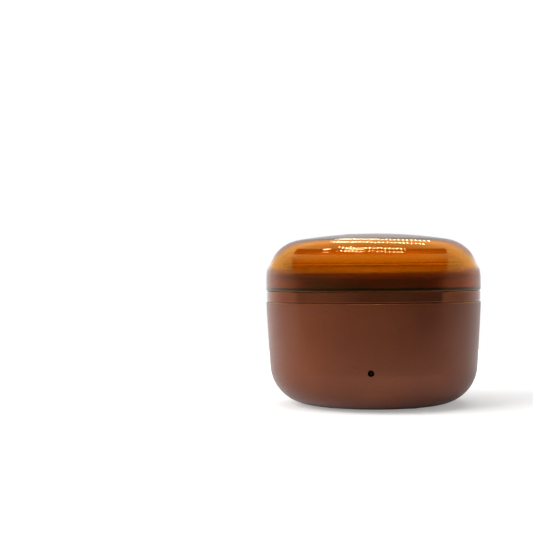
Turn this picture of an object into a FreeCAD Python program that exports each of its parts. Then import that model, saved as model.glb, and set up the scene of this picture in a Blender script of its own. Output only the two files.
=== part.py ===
import FreeCAD, Part
import math
import os

# A small wax heater: a tapered round body, a clear domed lid and a lift-out wax pot.
# Millimetres, +Z up. The origin is on the table under the body's axis. The front, with
# the indicator, faces -Y. The back, with the inlet and the power button, faces +Y.

Vector = FreeCAD.Vector
ORIGIN = Vector(0, 0, 0)
UP = Vector(0, 0, 1)
BACK = Vector(0, 1, 0)
SIDE = Vector(1, 0, 0)
FULL_TURN_DEG = 360

# Allowances that several pieces share
cut_over = 1.0              # how far a cutting shape runs past what it cuts
fit_gap = 0.05              # play round a pin, screw or core in its own hole

# Body outline
body_radius = 56.0
foot_standout = 0.8

# Base housing
housing_height = 52.6
housing_wall = 2.4
housing_corner_radius = 20.5
housing_taper_deg = 3.8
housing_upright = 4.4       # straight stretch above the taper
housing_edge_chamfer = 0.4
ledge_thickness = 1.8
ledge_width = 6.4

# Bottom cover, its feet and screws
cover_thickness = 2.4
cover_margin = 1.2          # flat underside left outside the cover
cover_clearance = 0.15
vent_slot_count = 8
vent_slot_width = 2.0
vent_slot_length = 8.0
vent_slot_circle = 12.0     # radius on which the slots are centred
foot_count = 4
foot_radius = 4.8
foot_recess = 0.8
foot_inset = 6.0            # foot centre to the cover's edge
foot_clearance = 0.15
foot_start_deg = 45
cover_screw_radius = 1.25
cover_screw_length = 7.4
cover_head_radius = 2.3
cover_head_height = 0.7
cover_head_clearance = 0.2
post_radius = 3.2
post_height = 7.0

# Top ring: glossy band, collar, lip and snap skirt
band_height = 6.2
band_inset = 0.2
band_edge_radius = 1.0
band_chamfer = 0.3
collar_height = 9.3
collar_wall = 2.2
collar_edge_radius = 3.0
lip_thickness = 3.0
skirt_depth = 5.0
skirt_wall = 1.8
skirt_clearance = 0.2
hook_count = 4
hook_angle_deg = 24
hook_drop = 2.4             # housing edge down to the hook's top
hook_height = 1.6
hook_reach = 0.7
hook_play = 0.15

# Lid
lid_height = 29.8
lid_wall = 2.6
lid_clearance = 0.4
lid_upright = 6.4
lid_shoulder_radius = 20.6
lid_edge_radius = 0.6
lid_vent_count = 3
lid_vent_radius = 1.7
lid_vent_dish = 0.4         # width and depth of the hollowed edge
lid_vent_spacing = 17.1
lid_vent_offset = 7.6       # row of vents to the lid's centre
lid_turn_deg = 22           # the lid is set down at any angle

# Wax pot
pot_inset = 16.0            # body outside to the pot's outside
pot_wall = 1.0
pot_floor = 1.2
pot_corner_radius = 5.0
pot_neck_inset = 7.6        # collar outside to the neck's outside
pot_neck_height = 3.5       # collar top to the rim's underside
pot_neck_wall = 1.8
pot_ledge_thickness = 1.4
pot_rim_thickness = 1.6
pot_rim_inset = 5.7         # collar outside to the rim's edge
pot_rim_edge_radius = 0.6
pot_mouth_radius = 1.2
pot_clearance = 0.8
pot_floor_gap = 0.4

# Heating well, gasket and screws
electrics_room = 20.0       # height kept free under the well
well_wall = 1.2
well_floor = 1.5
well_corner_radius = 4.0
well_flange_thickness = 1.0
well_flange_clearance = 1.6
gasket_thickness = 1.0
gasket_width = 2.2
gasket_setback = 0.6
well_screw_count = 4
well_screw_radius = 1.25
well_screw_bite = 3.2
well_screw_end_gap = 0.2
well_head_radius = 2.2
well_head_height = 1.6
well_boss_radius = 2.4

# Heater band and its clamp
heater_lift = 5.0           # well underside to the band's lower edge
heater_drop = 2.0           # sleeve's upper edge down to the band's
heater_thickness = 1.2
heater_fit = 0.1
heater_gap = 5.0
heater_gap_deg = 135
ear_length = 6.0
ear_height = 8.0
clamp_screw_radius = 1.5
clamp_head_radius = 2.6
clamp_head_height = 2.0
clamp_nut_flats = 5.5
clamp_nut_thickness = 2.4
clamp_tip = 1.1

# Insulation
sleeve_lift = 2.0           # well underside to the sleeve's lower edge
sleeve_head_gap = 6.0       # well screws down to the sleeve's upper edge
sleeve_thickness = 2.8
sleeve_clearance = 0.4
sleeve_slot_margin = 1.0
pad_thickness = 3.0
pad_setback = 2.8
pad_margin = 1.5

# Thermostat and its bracket
thermostat_cap_radius = 7.9
thermostat_cap_height = 2.6
thermostat_body_radius = 7.2
thermostat_body_height = 6.6
thermostat_tab_width = 5.0
thermostat_tab_thickness = 0.8
thermostat_tab_length = 6.0
thermostat_tab_spacing = 7.2
bracket_thickness = 0.8
bracket_ring_width = 2.0
bracket_ear_width = 8.0
bracket_ear_margin = 2.8
bracket_hole_spacing = 24.0
well_boss_under_radius = 2.5
bracket_screw_radius = 1.5
bracket_screw_bite = 3.2
bracket_screw_end_gap = 0.2
bracket_head_radius = 2.6
bracket_head_height = 1.8

# Thermal fuse and its clip
fuse_radius = 2.0
fuse_length = 11.0
fuse_offset = 20.0          # in front of the axis
clip_thickness = 0.8
clip_width = 5.0
clip_tab_length = 6.0
clip_stud_radius = 1.25
clip_stud_length = 4.4
clip_nut_flats = 5.0
clip_nut_thickness = 1.8

# Indicator and its board
led_height = 20.4           # above the table
led_radius = 1.5
led_length = 4.5
led_recess = 2.0            # lens tip behind the body's face
led_flange_radius = 1.9
led_flange_thickness = 1.0
led_lead_radius = 0.25
led_lead_length = 2.0
led_lead_spacing = 2.54
led_hole_chamfer = 0.35
board_thickness = 1.6
board_width = 17.0
board_above = 2.6           # led axis to the board's upper edge
board_below = 8.4
board_screw_spacing = 12.0
board_screw_drop = 4.0
board_screw_radius = 0.9
board_screw_bite = 3.6
board_screw_end_gap = 0.2
board_head_radius = 1.7
board_head_height = 1.2
board_boss_radius = 2.0

# Rear pocket
rear_pocket_depth = 11.5    # body outside to the pocket's floor
rear_margin = 1.2
rear_corner_radius = 3.0
rear_spacing = 19.0         # inlet centre to button centre

# Mains inlet, two-pole
inlet_width = 20.0
inlet_height = 10.8
inlet_corner_radius = 2.0
inlet_bezel = 1.6
inlet_body_width = 17.0
inlet_body_height = 9.4
inlet_body_depth = 16.0
inlet_body_clearance = 0.15
socket_width = 14.2
socket_height = 8.0
socket_depth = 11.5
pin_radius = 1.2
pin_spacing = 8.6
pin_length = 9.0
pin_tail = 5.0
snap_reach = 1.0
snap_length = 3.0
snap_height = 4.0

# Power button and its panel switch
button_radius = 3.8
button_clearance = 0.08
button_length = 4.4
button_proud = 1.6
button_edge_radius = 0.6
button_travel = 1.5
stem_radius = 1.4
stem_clearance = 0.1
stem_length = 8.0
stem_end_gap = 0.6
spring_length = 5.0
spring_radius = 2.5
spring_wire_radius = 0.35
spring_wire_flats = 6
spring_turns = 4
spring_end_gap = 0.05
switch_bezel_radius = 6.2
switch_bezel = 1.6
switch_barrel_radius = 5.0
switch_barrel_length = 8.0
switch_barrel_clearance = 0.1
switch_body_radius = 5.8
switch_body_length = 10.0
switch_nut_flats = 13.0
switch_nut_thickness = 2.0
switch_tab_width = 2.8
switch_tab_thickness = 0.6
switch_tab_length = 5.0
switch_tab_spacing = 5.0

# Wiring
wire_radius = 0.6
wire_floor_gap = 2.5        # cavity floor to the lowest wire
wire_loop = 4.0             # how far a wire runs straight out of a terminal
wire_bend_share = 0.45
tab_joint_share = 0.7       # how far down a thermostat tab its wire is joined
feed_lead_deg = 180
return_lead_deg = 225

# Heights that follow
housing_bottom = foot_standout
housing_top = housing_bottom + housing_height
taper_top = housing_top - housing_upright
cover_top = housing_bottom + cover_thickness
cavity_floor = cover_top + ledge_thickness
well_bottom = cavity_floor + electrics_room
pot_bottom = well_bottom + well_floor + pot_floor_gap
band_top = housing_top + band_height
collar_top = band_top + collar_height
lip_under = collar_top - lip_thickness
well_top = lip_under - gasket_thickness
sleeve_bottom = well_bottom + sleeve_lift
sleeve_top = well_top - well_flange_thickness - well_head_height - sleeve_head_gap
heater_bottom = well_bottom + heater_lift
heater_top = sleeve_top - heater_drop
lid_top = band_top + lid_height
pad_bottom = well_bottom - pad_thickness
rear_height = (cavity_floor + pad_bottom) / 2

# Radii that follow
taper = math.radians(housing_taper_deg)
corner_height = housing_bottom + housing_corner_radius
taper_run = (taper_top - corner_height + housing_corner_radius * math.sin(taper)) * math.tan(taper)
flat_radius = body_radius - taper_run - housing_corner_radius * math.cos(taper)
cover_radius = flat_radius - cover_margin
ledge_radius = cover_radius - ledge_width
foot_circle = cover_radius - foot_inset
band_radius = body_radius - band_inset
skirt_radius = body_radius - housing_wall - skirt_clearance
collar_radius = body_radius - lid_wall - lid_clearance
collar_bore = collar_radius - collar_wall
pot_radius = body_radius - pot_inset
pot_rim_radius = collar_radius - pot_rim_inset
pot_neck_radius = collar_radius - pot_neck_inset
well_bore = pot_radius + pot_clearance
well_radius = well_bore + well_wall
well_flange_radius = collar_bore - well_flange_clearance
gasket_bore = well_bore + gasket_setback
gasket_radius = gasket_bore + gasket_width
well_screw_circle = (gasket_radius + well_flange_radius) / 2
heater_bore = well_radius + heater_fit
heater_radius = heater_bore + heater_thickness
sleeve_bore = heater_radius + sleeve_clearance
sleeve_radius = sleeve_bore + sleeve_thickness
pad_radius = well_bore - pad_setback
pad_bore = bracket_hole_spacing / 2 + bracket_ear_margin + pad_margin

# Dome that meets the lid's shoulder and top without a kink
shoulder_radius_in = body_radius - lid_shoulder_radius
shoulder_height = band_top + lid_upright
dome_drop = lid_top - shoulder_height
dome_radius = (shoulder_radius_in ** 2 + dome_drop ** 2 - lid_shoulder_radius ** 2) / (
    2 * (dome_drop - lid_shoulder_radius))
dome_centre = lid_top - dome_radius
dome_deg = math.degrees(math.atan2(shoulder_height - dome_centre, shoulder_radius_in))

# Places on the front and the back
front_face = body_radius - (taper_top - led_height) * math.tan(taper)
led_tip = -(front_face - led_recess)
led_back = led_tip + led_length
board_front = led_back + led_lead_length
board_back = board_front + board_thickness
board_screw_height = led_height - board_screw_drop
rear_face = body_radius - rear_pocket_depth
rear_inside = rear_face - housing_wall
rear_half_width = (inlet_width / 2 + rear_spacing + switch_bezel_radius) / 2 + rear_margin
inlet_x = rear_margin + inlet_width / 2 - rear_half_width
switch_x = inlet_x + rear_spacing
button_back = rear_face + switch_bezel + button_proud - button_length
chamber_end = button_back - spring_length
switch_rear = rear_face - switch_barrel_length - switch_body_length
inlet_rear = rear_face - inlet_body_depth
thermostat_under = well_bottom - thermostat_cap_height - thermostat_body_height


class Section:
    """A half-section in the XZ plane, drawn point by point and spun round the Z axis."""

    def __init__(self, radius, height):
        self.start = Vector(radius, 0, height)
        self.here = self.start
        self.edges = []

    def line(self, radius, height):
        point = Vector(radius, 0, height)
        self.edges.append(Part.LineSegment(self.here, point).toShape())
        self.here = point
        return self

    def arc(self, centre_radius, centre_height, bend, from_deg, to_deg):
        points = []
        for angle in (from_deg, (from_deg + to_deg) / 2, to_deg):
            reach = bend * math.cos(math.radians(angle))
            rise = bend * math.sin(math.radians(angle))
            points.append(Vector(centre_radius + reach, 0, centre_height + rise))
        if points[0].distanceToPoint(self.here) > fit_gap * fit_gap:
            self.line(points[0].x, points[0].z)
        self.edges.append(Part.Arc(self.here, points[1], points[2]).toShape())
        self.here = points[2]
        return self

    def spin(self, turn_deg=FULL_TURN_DEG):
        self.line(self.start.x, self.start.z)
        return Part.Face(Part.Wire(self.edges)).revolve(ORIGIN, UP, turn_deg)


def disc(radius, low, high, x=0, y=0):
    return Part.makeCylinder(radius, high - low, Vector(x, y, low), UP)


def ring(radius, bore, low, high):
    return disc(radius, low, high).cut(disc(bore, low - cut_over, high + cut_over))


def rod_y(radius, x, z, near, far):
    return Part.makeCylinder(radius, far - near, Vector(x, near, z), BACK)


def rod_x(radius, y, z, near, far):
    return Part.makeCylinder(radius, far - near, Vector(near, y, z), SIDE)


def block(low, high):
    size = high - low
    return Part.makeBox(size.x, size.y, size.z, low)


def slab_y(x, z, width, height, corner, near, far):
    """A rounded rectangle, centred on x and z, drawn out along Y."""
    body = block(Vector(x - width / 2, near, z - height / 2), Vector(x + width / 2, far, z + height / 2))
    along = [e for e in body.Edges if abs(e.tangentAt(e.FirstParameter).y) > math.cos(taper)]
    return body.makeFillet(corner, along)


def hexagon(flats, thickness):
    """A nut blank on the XY plane, with its axis on Z."""
    reach = flats / 2 / math.cos(math.pi / 6)
    corners = [Vector(reach * math.cos(k * math.pi / 3), reach * math.sin(k * math.pi / 3), 0)
               for k in range(6)]
    return Part.Face(Part.makePolygon(corners + corners[:1])).extrude(UP * thickness)


def turned(shape, angle_deg):
    copy = shape.copy()
    copy.rotate(ORIGIN, UP, angle_deg)
    return copy


def around(shape, count, start_deg=0):
    return [turned(shape, start_deg + k * FULL_TURN_DEG / count) for k in range(count)]


def group(shapes):
    return Part.makeCompound(shapes)


def merged(shapes):
    return shapes[0].multiFuse(shapes[1:]).removeSplitter()


def housing_form(inset, floor, top):
    """The body's outline, moved inwards by inset, between two heights."""
    corner = housing_corner_radius - inset
    radius = body_radius - inset
    kink = taper_top + inset * math.tan(taper / 2)
    form = Section(0, corner_height - corner)
    form.line(flat_radius, corner_height - corner)
    form.arc(flat_radius, corner_height, corner, -90, -housing_taper_deg)
    form.line(radius, kink).line(radius, top).line(0, top)
    solid = form.spin()
    return solid.common(disc(body_radius + cut_over, floor, top))


def rear_pocket_block(grow, near, far):
    width = 2 * (rear_half_width + grow)
    height = inlet_height + 2 * (rear_margin + grow)
    return slab_y(0, rear_height, width, height, rear_corner_radius + grow, near, far)


def base_housing():
    outside = housing_form(0, housing_bottom, housing_top)
    edge = ring(body_radius + cut_over, body_radius - housing_edge_chamfer, housing_top - housing_edge_chamfer,
                housing_top + cut_over)
    cone = Part.makeCone(body_radius, body_radius - housing_edge_chamfer, housing_edge_chamfer,
                         Vector(0, 0, housing_top - housing_edge_chamfer), UP)
    outside = outside.cut(edge.cut(cone))
    shell = outside.cut(housing_form(housing_wall, cavity_floor, housing_top + cut_over))
    post = disc(post_radius, cover_top, cover_top + post_height, foot_circle)
    posts = around(post, foot_count, foot_start_deg)
    bosses = [rod_y(board_boss_radius, side * board_screw_spacing / 2, board_screw_height,
                    -body_radius, board_front)
              for side in (-1, 1)]
    pocket_wall = rear_pocket_block(housing_wall, rear_inside, body_radius)
    added = [outside.common(piece) for piece in bosses + [pocket_wall]]
    shell = merged([shell] + posts + added)

    opening = disc(ledge_radius, housing_bottom - cut_over, cavity_floor + cut_over)
    for post in posts:
        opening = opening.cut(post)
    rebate = disc(cover_radius + cover_clearance, housing_bottom - cut_over, cover_top)
    pilot = disc(cover_screw_radius + fit_gap, housing_bottom, cover_top + cover_screw_length, foot_circle)
    groove_top = housing_top - hook_drop + hook_play
    groove = ring(skirt_radius + hook_reach + hook_play, skirt_radius - cut_over,
                  groove_top - hook_height - 2 * hook_play, groove_top)
    led_hole = rod_y(led_radius + fit_gap, 0, led_height, -body_radius - cut_over, led_tip + led_length)
    bevel = Part.makeCone(led_radius + fit_gap + led_hole_chamfer + cut_over, led_radius + fit_gap,
                          led_hole_chamfer + cut_over, Vector(0, -front_face - cut_over, led_height), BACK)
    board_pilots = [rod_y(board_screw_radius + fit_gap, side * board_screw_spacing / 2, board_screw_height,
                          board_front - board_screw_bite - board_screw_end_gap, board_front + cut_over)
                    for side in (-1, 1)]
    pocket = rear_pocket_block(0, rear_face, body_radius + cut_over)
    inlet_cut = slab_y(inlet_x, rear_height, inlet_body_width + 2 * inlet_body_clearance,
                       inlet_body_height + 2 * inlet_body_clearance, inlet_corner_radius,
                       rear_inside - cut_over, rear_face + cut_over)
    switch_cut = rod_y(switch_barrel_radius + switch_barrel_clearance, switch_x, rear_height,
                       rear_inside - cut_over, rear_face + cut_over)
    cuts = [opening, rebate, groove, led_hole, bevel, pocket, inlet_cut, switch_cut]
    cuts += around(pilot, foot_count, foot_start_deg) + board_pilots
    for piece in cuts:
        shell = shell.cut(piece)
    return shell


def bottom_cover():
    plate = disc(cover_radius, housing_bottom, cover_top)
    recess = disc(foot_radius + foot_clearance, housing_bottom - cut_over,
                  housing_bottom + foot_recess, foot_circle)
    hole = disc(cover_screw_radius + fit_gap, housing_bottom, cover_top + cut_over, foot_circle)
    slot = slab_y(0, vent_slot_circle, vent_slot_width, vent_slot_length, vent_slot_width / 2 - fit_gap,
                  -cover_top - cut_over, -housing_bottom + cut_over)
    slot.rotate(ORIGIN, SIDE, -90)
    for piece in around(recess.fuse(hole), foot_count, foot_start_deg) + around(slot, vent_slot_count):
        plate = plate.cut(piece)
    return plate


def rubber_feet():
    top = foot_standout + foot_recess
    foot = disc(foot_radius, 0, top, foot_circle)
    hollow = disc(cover_head_radius + cover_head_clearance, top - cover_head_height - cover_head_clearance,
                  top + cut_over, foot_circle)
    return group(around(foot.cut(hollow), foot_count, foot_start_deg))


def cover_screws():
    seat = foot_standout + foot_recess
    head = disc(cover_head_radius, seat - cover_head_height, seat, foot_circle)
    shank = disc(cover_screw_radius, seat, seat + cover_screw_length, foot_circle)
    return group(around(merged([head, shank]), foot_count, foot_start_deg))


def top_ring():
    skirt_bottom = housing_top - skirt_depth
    skirt_bore = skirt_radius - skirt_wall
    form = Section(skirt_bore, skirt_bottom)
    form.line(skirt_radius, skirt_bottom).line(skirt_radius, housing_top)
    form.line(band_radius - band_chamfer, housing_top).line(band_radius, housing_top + band_chamfer)
    form.arc(band_radius - band_edge_radius, band_top - band_edge_radius, band_edge_radius, 0, 90)
    form.line(collar_radius, band_top)
    form.arc(collar_radius - collar_edge_radius, collar_top - collar_edge_radius, collar_edge_radius, 0, 90)
    form.line(well_bore, collar_top).line(well_bore, lip_under).line(collar_bore, lip_under)
    form.line(collar_bore, housing_top).line(skirt_bore, housing_top - (skirt_bore - collar_bore))
    body = form.spin()

    hook_top = housing_top - hook_drop
    hook = Section(skirt_radius - skirt_wall / 2, hook_top)
    hook.line(skirt_radius + hook_reach, hook_top).line(skirt_radius, hook_top - hook_height)
    hook.line(skirt_radius - skirt_wall / 2, hook_top - hook_height)
    hooks = around(hook.spin(hook_angle_deg), hook_count, -hook_angle_deg / 2)
    boss = disc(well_boss_radius, well_top, lip_under, well_screw_circle)
    body = merged([body] + hooks + around(boss, well_screw_count))
    pilot = disc(well_screw_radius + fit_gap, well_top - cut_over,
                 well_top + well_screw_bite + well_screw_end_gap, well_screw_circle)
    for piece in around(pilot, well_screw_count):
        body = body.cut(piece)
    return body


def lid_form(inset, bottom, edge_radius):
    radius = body_radius - inset
    form = Section(0, bottom).line(radius - edge_radius, bottom)
    if edge_radius > 0:
        form.arc(radius - edge_radius, bottom + edge_radius, edge_radius, -90, 0)
    form.line(radius, shoulder_height)
    form.arc(shoulder_radius_in, shoulder_height, lid_shoulder_radius - inset, 0, dome_deg)
    form.arc(0, dome_centre, dome_radius - inset, dome_deg, 90)
    return form.spin()


def lid():
    shell = lid_form(0, band_top, lid_edge_radius).cut(lid_form(lid_wall, band_top - cut_over, 0))
    for k in range(lid_vent_count):
        x = (k - (lid_vent_count - 1) / 2) * lid_vent_spacing
        reach = math.hypot(x, lid_vent_offset)
        face = dome_centre + math.sqrt(dome_radius ** 2 - reach ** 2)
        hole = disc(lid_vent_radius, face - 2 * lid_wall, lid_top + cut_over, x, -lid_vent_offset)
        dish = Part.makeSphere(math.hypot(lid_vent_radius, lid_vent_radius + lid_vent_dish),
                               Vector(x, -lid_vent_offset, face + lid_vent_radius))
        shell = shell.cut(turned(hole, lid_turn_deg)).cut(turned(dish, lid_turn_deg))
    return shell


def wax_pot():
    bore = pot_radius - pot_wall
    neck_bore = pot_neck_radius - pot_neck_wall
    ledge_top = collar_top + pot_ledge_thickness
    rim_under = collar_top + pot_neck_height
    rim_top = rim_under + pot_rim_thickness
    corner_in = pot_corner_radius - pot_wall
    floor_top = pot_bottom + pot_floor
    form = Section(0, pot_bottom).line(pot_radius - pot_corner_radius, pot_bottom)
    form.arc(pot_radius - pot_corner_radius, pot_bottom + pot_corner_radius, pot_corner_radius, -90, 0)
    form.line(pot_radius, collar_top).line(pot_neck_radius, collar_top)
    form.line(pot_neck_radius, rim_under).line(pot_rim_radius, rim_under)
    form.line(pot_rim_radius, rim_top - pot_rim_edge_radius)
    form.arc(pot_rim_radius - pot_rim_edge_radius, rim_top - pot_rim_edge_radius, pot_rim_edge_radius, 0, 90)
    form.line(neck_bore + pot_mouth_radius, rim_top)
    form.arc(neck_bore + pot_mouth_radius, rim_top - pot_mouth_radius, pot_mouth_radius, 90, 180)
    form.line(neck_bore, ledge_top).line(bore, ledge_top).line(bore, floor_top + corner_in)
    form.arc(bore - corner_in, floor_top + corner_in, corner_in, 0, -90)
    form.line(0, floor_top)
    return form.spin()


def heating_well():
    flange_under = well_top - well_flange_thickness
    corner_in = well_corner_radius - well_wall
    floor_top = well_bottom + well_floor
    form = Section(0, well_bottom).line(well_radius - well_corner_radius, well_bottom)
    form.arc(well_radius - well_corner_radius, well_bottom + well_corner_radius, well_corner_radius, -90, 0)
    form.line(well_radius, flange_under).line(well_flange_radius, flange_under)
    form.line(well_flange_radius, well_top).line(well_bore, well_top).line(well_bore, floor_top + corner_in)
    form.arc(well_bore - corner_in, floor_top + corner_in, corner_in, 0, -90)
    form.line(0, floor_top)
    body = form.spin()
    boss_under = well_bottom - thermostat_cap_height
    bosses = [disc(well_boss_under_radius, boss_under, well_bottom, side * bracket_hole_spacing / 2)
              for side in (-1, 1)]
    stud = disc(clip_stud_radius, well_bottom - clip_stud_length, well_bottom, 0, clip_stud_place())
    body = merged([body, stud] + bosses)
    pilots = [disc(bracket_screw_radius + fit_gap, boss_under - cut_over,
                   boss_under + bracket_screw_bite + bracket_screw_end_gap, side * bracket_hole_spacing / 2)
              for side in (-1, 1)]
    hole = disc(well_screw_radius + fit_gap, flange_under - cut_over, well_top + cut_over, well_screw_circle)
    for piece in pilots + around(hole, well_screw_count):
        body = body.cut(piece)
    return body


def well_gasket():
    return ring(gasket_radius, gasket_bore, well_top, lip_under)


def well_screws():
    seat = well_top - well_flange_thickness
    head = disc(well_head_radius, seat - well_head_height, seat, well_screw_circle)
    shank = disc(well_screw_radius, seat, well_top + well_screw_bite, well_screw_circle)
    return group(around(merged([head, shank]), well_screw_count))


def clamp_height():
    return (heater_bottom + heater_top) / 2


def clamp_reach():
    return heater_radius + ear_length / 2


def ear_outside():
    return heater_gap / 2 + heater_thickness


def heater_band():
    body = ring(heater_radius, heater_bore, heater_bottom, heater_top)
    half_gap = heater_gap / 2
    body = body.cut(block(Vector(0, -half_gap, heater_bottom - cut_over),
                          Vector(heater_radius + cut_over, half_gap, heater_top + cut_over)))
    mid = clamp_height()
    ears = []
    for side in (-1, 1):
        low_y = min(side * half_gap, side * ear_outside())
        ears.append(block(Vector(heater_bore + heater_thickness / 2, low_y, mid - ear_height / 2),
                          Vector(heater_radius + ear_length, low_y + heater_thickness, mid + ear_height / 2)))
    body = merged([body] + ears)
    hole = rod_y(clamp_screw_radius + fit_gap, clamp_reach(), mid, -ear_outside() - cut_over,
                 ear_outside() + cut_over)
    return turned(body.cut(hole), heater_gap_deg)


def band_clamp_screw():
    seat = -ear_outside()
    head = rod_y(clamp_head_radius, clamp_reach(), clamp_height(), seat - clamp_head_height, seat)
    end = ear_outside() + clamp_nut_thickness + clamp_tip
    shank = rod_y(clamp_screw_radius, clamp_reach(), clamp_height(), seat, end)
    return turned(merged([head, shank]), heater_gap_deg)


def band_clamp_nut():
    nut = hexagon(clamp_nut_flats, clamp_nut_thickness)
    nut = nut.cut(disc(clamp_screw_radius + fit_gap, -cut_over, clamp_nut_thickness + cut_over))
    nut.rotate(ORIGIN, SIDE, -90)
    nut.translate(Vector(clamp_reach(), ear_outside(), clamp_height()))
    return turned(nut, heater_gap_deg)


def insulation_sleeve():
    body = ring(sleeve_radius, sleeve_bore, sleeve_bottom, sleeve_top)
    half_slot = ear_outside() + max(clamp_head_height, clamp_nut_thickness + clamp_tip) + sleeve_slot_margin
    slot = block(Vector(0, -half_slot, sleeve_bottom - cut_over),
                 Vector(sleeve_radius + cut_over, half_slot, sleeve_top + cut_over))
    return turned(body.cut(slot), heater_gap_deg)


def insulation_pad():
    pad = ring(pad_radius, pad_bore, pad_bottom, well_bottom)
    half_notch = fuse_length / 2 + wire_loop + wire_radius + pad_margin
    notch_end = fuse_offset + fuse_radius + clip_thickness + pad_margin
    notch = block(Vector(-half_notch, -notch_end, pad_bottom - cut_over),
                  Vector(half_notch, 0, well_bottom + cut_over))
    return pad.cut(notch)


def thermostat_cap():
    return disc(thermostat_cap_radius, well_bottom - thermostat_cap_height, well_bottom)


def thermostat_body():
    return disc(thermostat_body_radius, thermostat_under, well_bottom - thermostat_cap_height)


def thermostat_tabs():
    tabs = []
    for side in (-1, 1):
        x = side * thermostat_tab_spacing / 2
        tabs.append(block(Vector(x - thermostat_tab_thickness / 2, -thermostat_tab_width / 2,
                                 thermostat_under - thermostat_tab_length),
                          Vector(x + thermostat_tab_thickness / 2, thermostat_tab_width / 2, thermostat_under)))
    return group(tabs)


def thermostat_bracket():
    top = well_bottom - thermostat_cap_height
    low = top - bracket_thickness
    reach = bracket_hole_spacing / 2
    plate = disc(thermostat_body_radius + bracket_ring_width, low, top)
    strap = block(Vector(-reach - bracket_ear_margin, -bracket_ear_width / 2, low),
                  Vector(reach + bracket_ear_margin, bracket_ear_width / 2, top))
    plate = merged([plate, strap]).cut(disc(thermostat_body_radius + fit_gap, low - cut_over, top + cut_over))
    for side in (-1, 1):
        plate = plate.cut(disc(bracket_screw_radius + fit_gap, low - cut_over, top + cut_over, side * reach))
    return plate


def thermostat_screws():
    boss_under = well_bottom - thermostat_cap_height
    seat = boss_under - bracket_thickness
    screws = []
    for side in (-1, 1):
        x = side * bracket_hole_spacing / 2
        head = disc(bracket_head_radius, seat - bracket_head_height, seat, x)
        shank = disc(bracket_screw_radius, seat, boss_under + bracket_screw_bite, x)
        screws.append(merged([head, shank]))
    return group(screws)


def fuse_height():
    return well_bottom - fuse_radius - fit_gap


def clip_stud_place():
    return -fuse_offset + fuse_radius + clip_thickness + clip_tab_length / 2


def thermal_fuse():
    return rod_x(fuse_radius, -fuse_offset, fuse_height(), -fuse_length / 2, fuse_length / 2)


def fuse_clip():
    inner = fuse_radius + fit_gap
    outer = inner + clip_thickness
    half = clip_width / 2

    def saddle(radius, over):
        arch = rod_x(radius, -fuse_offset, fuse_height(), -half - over, half + over)
        legs = block(Vector(-half - over, -fuse_offset - radius, fuse_height()),
                     Vector(half + over, -fuse_offset + radius, well_bottom + over))
        return arch.fuse(legs)

    strap = saddle(outer, 0).cut(saddle(inner, cut_over))
    below = block(Vector(-half, -fuse_offset - outer, fuse_height() - outer),
                  Vector(half, -fuse_offset + outer, well_bottom))
    tab = block(Vector(-half, -fuse_offset + inner, well_bottom - clip_thickness),
                Vector(half, -fuse_offset + outer + clip_tab_length, well_bottom))
    hole = disc(clip_stud_radius + fit_gap, well_bottom - outer, well_bottom + cut_over, 0, clip_stud_place())
    return merged([strap.common(below), tab]).cut(hole)


def fuse_clip_nut():
    top = well_bottom - clip_thickness
    nut = hexagon(clip_nut_flats, clip_nut_thickness)
    nut = nut.cut(disc(clip_stud_radius + fit_gap, -cut_over, clip_nut_thickness + cut_over))
    nut.translate(Vector(0, clip_stud_place(), top - clip_nut_thickness))
    return nut


def led_board():
    plate = block(Vector(-board_width / 2, board_front, led_height - board_below),
                  Vector(board_width / 2, board_back, led_height + board_above))
    for side in (-1, 1):
        plate = plate.cut(rod_y(board_screw_radius + fit_gap, side * board_screw_spacing / 2,
                                board_screw_height, board_front - cut_over, board_back + cut_over))
    return plate


def indicator_led():
    lens = Part.makeSphere(led_radius, Vector(0, led_tip + led_radius, led_height))
    core = rod_y(led_radius, 0, led_height, led_tip + led_radius, led_back)
    flange = rod_y(led_flange_radius, 0, led_height, led_back - led_flange_thickness, led_back)
    leads = [rod_y(led_lead_radius, side * led_lead_spacing / 2, led_height, led_back, board_front)
             for side in (-1, 1)]
    return merged([core, lens, flange] + leads)


def led_board_screws():
    screws = []
    for side in (-1, 1):
        x = side * board_screw_spacing / 2
        head = rod_y(board_head_radius, x, board_screw_height, board_back, board_back + board_head_height)
        shank = rod_y(board_screw_radius, x, board_screw_height, board_front - board_screw_bite, board_back)
        screws.append(merged([head, shank]))
    return group(screws)


def pin_places():
    return [inlet_x + side * pin_spacing / 2 for side in (-1, 1)]


def socket_floor():
    return rear_face + inlet_bezel - socket_depth


def power_inlet():
    bezel = slab_y(inlet_x, rear_height, inlet_width, inlet_height, inlet_corner_radius,
                   rear_face, rear_face + inlet_bezel)
    body = slab_y(inlet_x, rear_height, inlet_body_width, inlet_body_height, inlet_corner_radius,
                  inlet_rear, rear_face)
    snaps = []
    for side in (-1, 1):
        edge = inlet_x + side * inlet_body_width / 2
        root = Vector(edge, rear_inside, 0)
        wedge = Part.makePolygon([root, Vector(edge + side * snap_reach, rear_inside, 0),
                                  Vector(edge, rear_inside - snap_length, 0), root])
        solid = Part.Face(wedge).extrude(UP * snap_height)
        solid.translate(UP * (rear_height - snap_height / 2))
        snaps.append(solid)
    inlet = merged([bezel, body] + snaps)
    socket = slab_y(inlet_x, rear_height, socket_width, socket_height, socket_height / 2 - fit_gap,
                    socket_floor(), rear_face + inlet_bezel + cut_over)
    inlet = inlet.cut(socket)
    for x in pin_places():
        inlet = inlet.cut(rod_y(pin_radius + fit_gap, x, rear_height, inlet_rear - cut_over, rear_face))
    return inlet


def inlet_pins():
    tail = inlet_rear - pin_tail
    pins = []
    for x in pin_places():
        pin = rod_y(pin_radius, x, rear_height, tail, socket_floor() + pin_length)
        tip = max(pin.Edges, key=lambda edge: edge.BoundBox.YMin)
        pins.append(pin.makeFillet(pin_radius / 2, [tip]))
    return group(pins)


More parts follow.
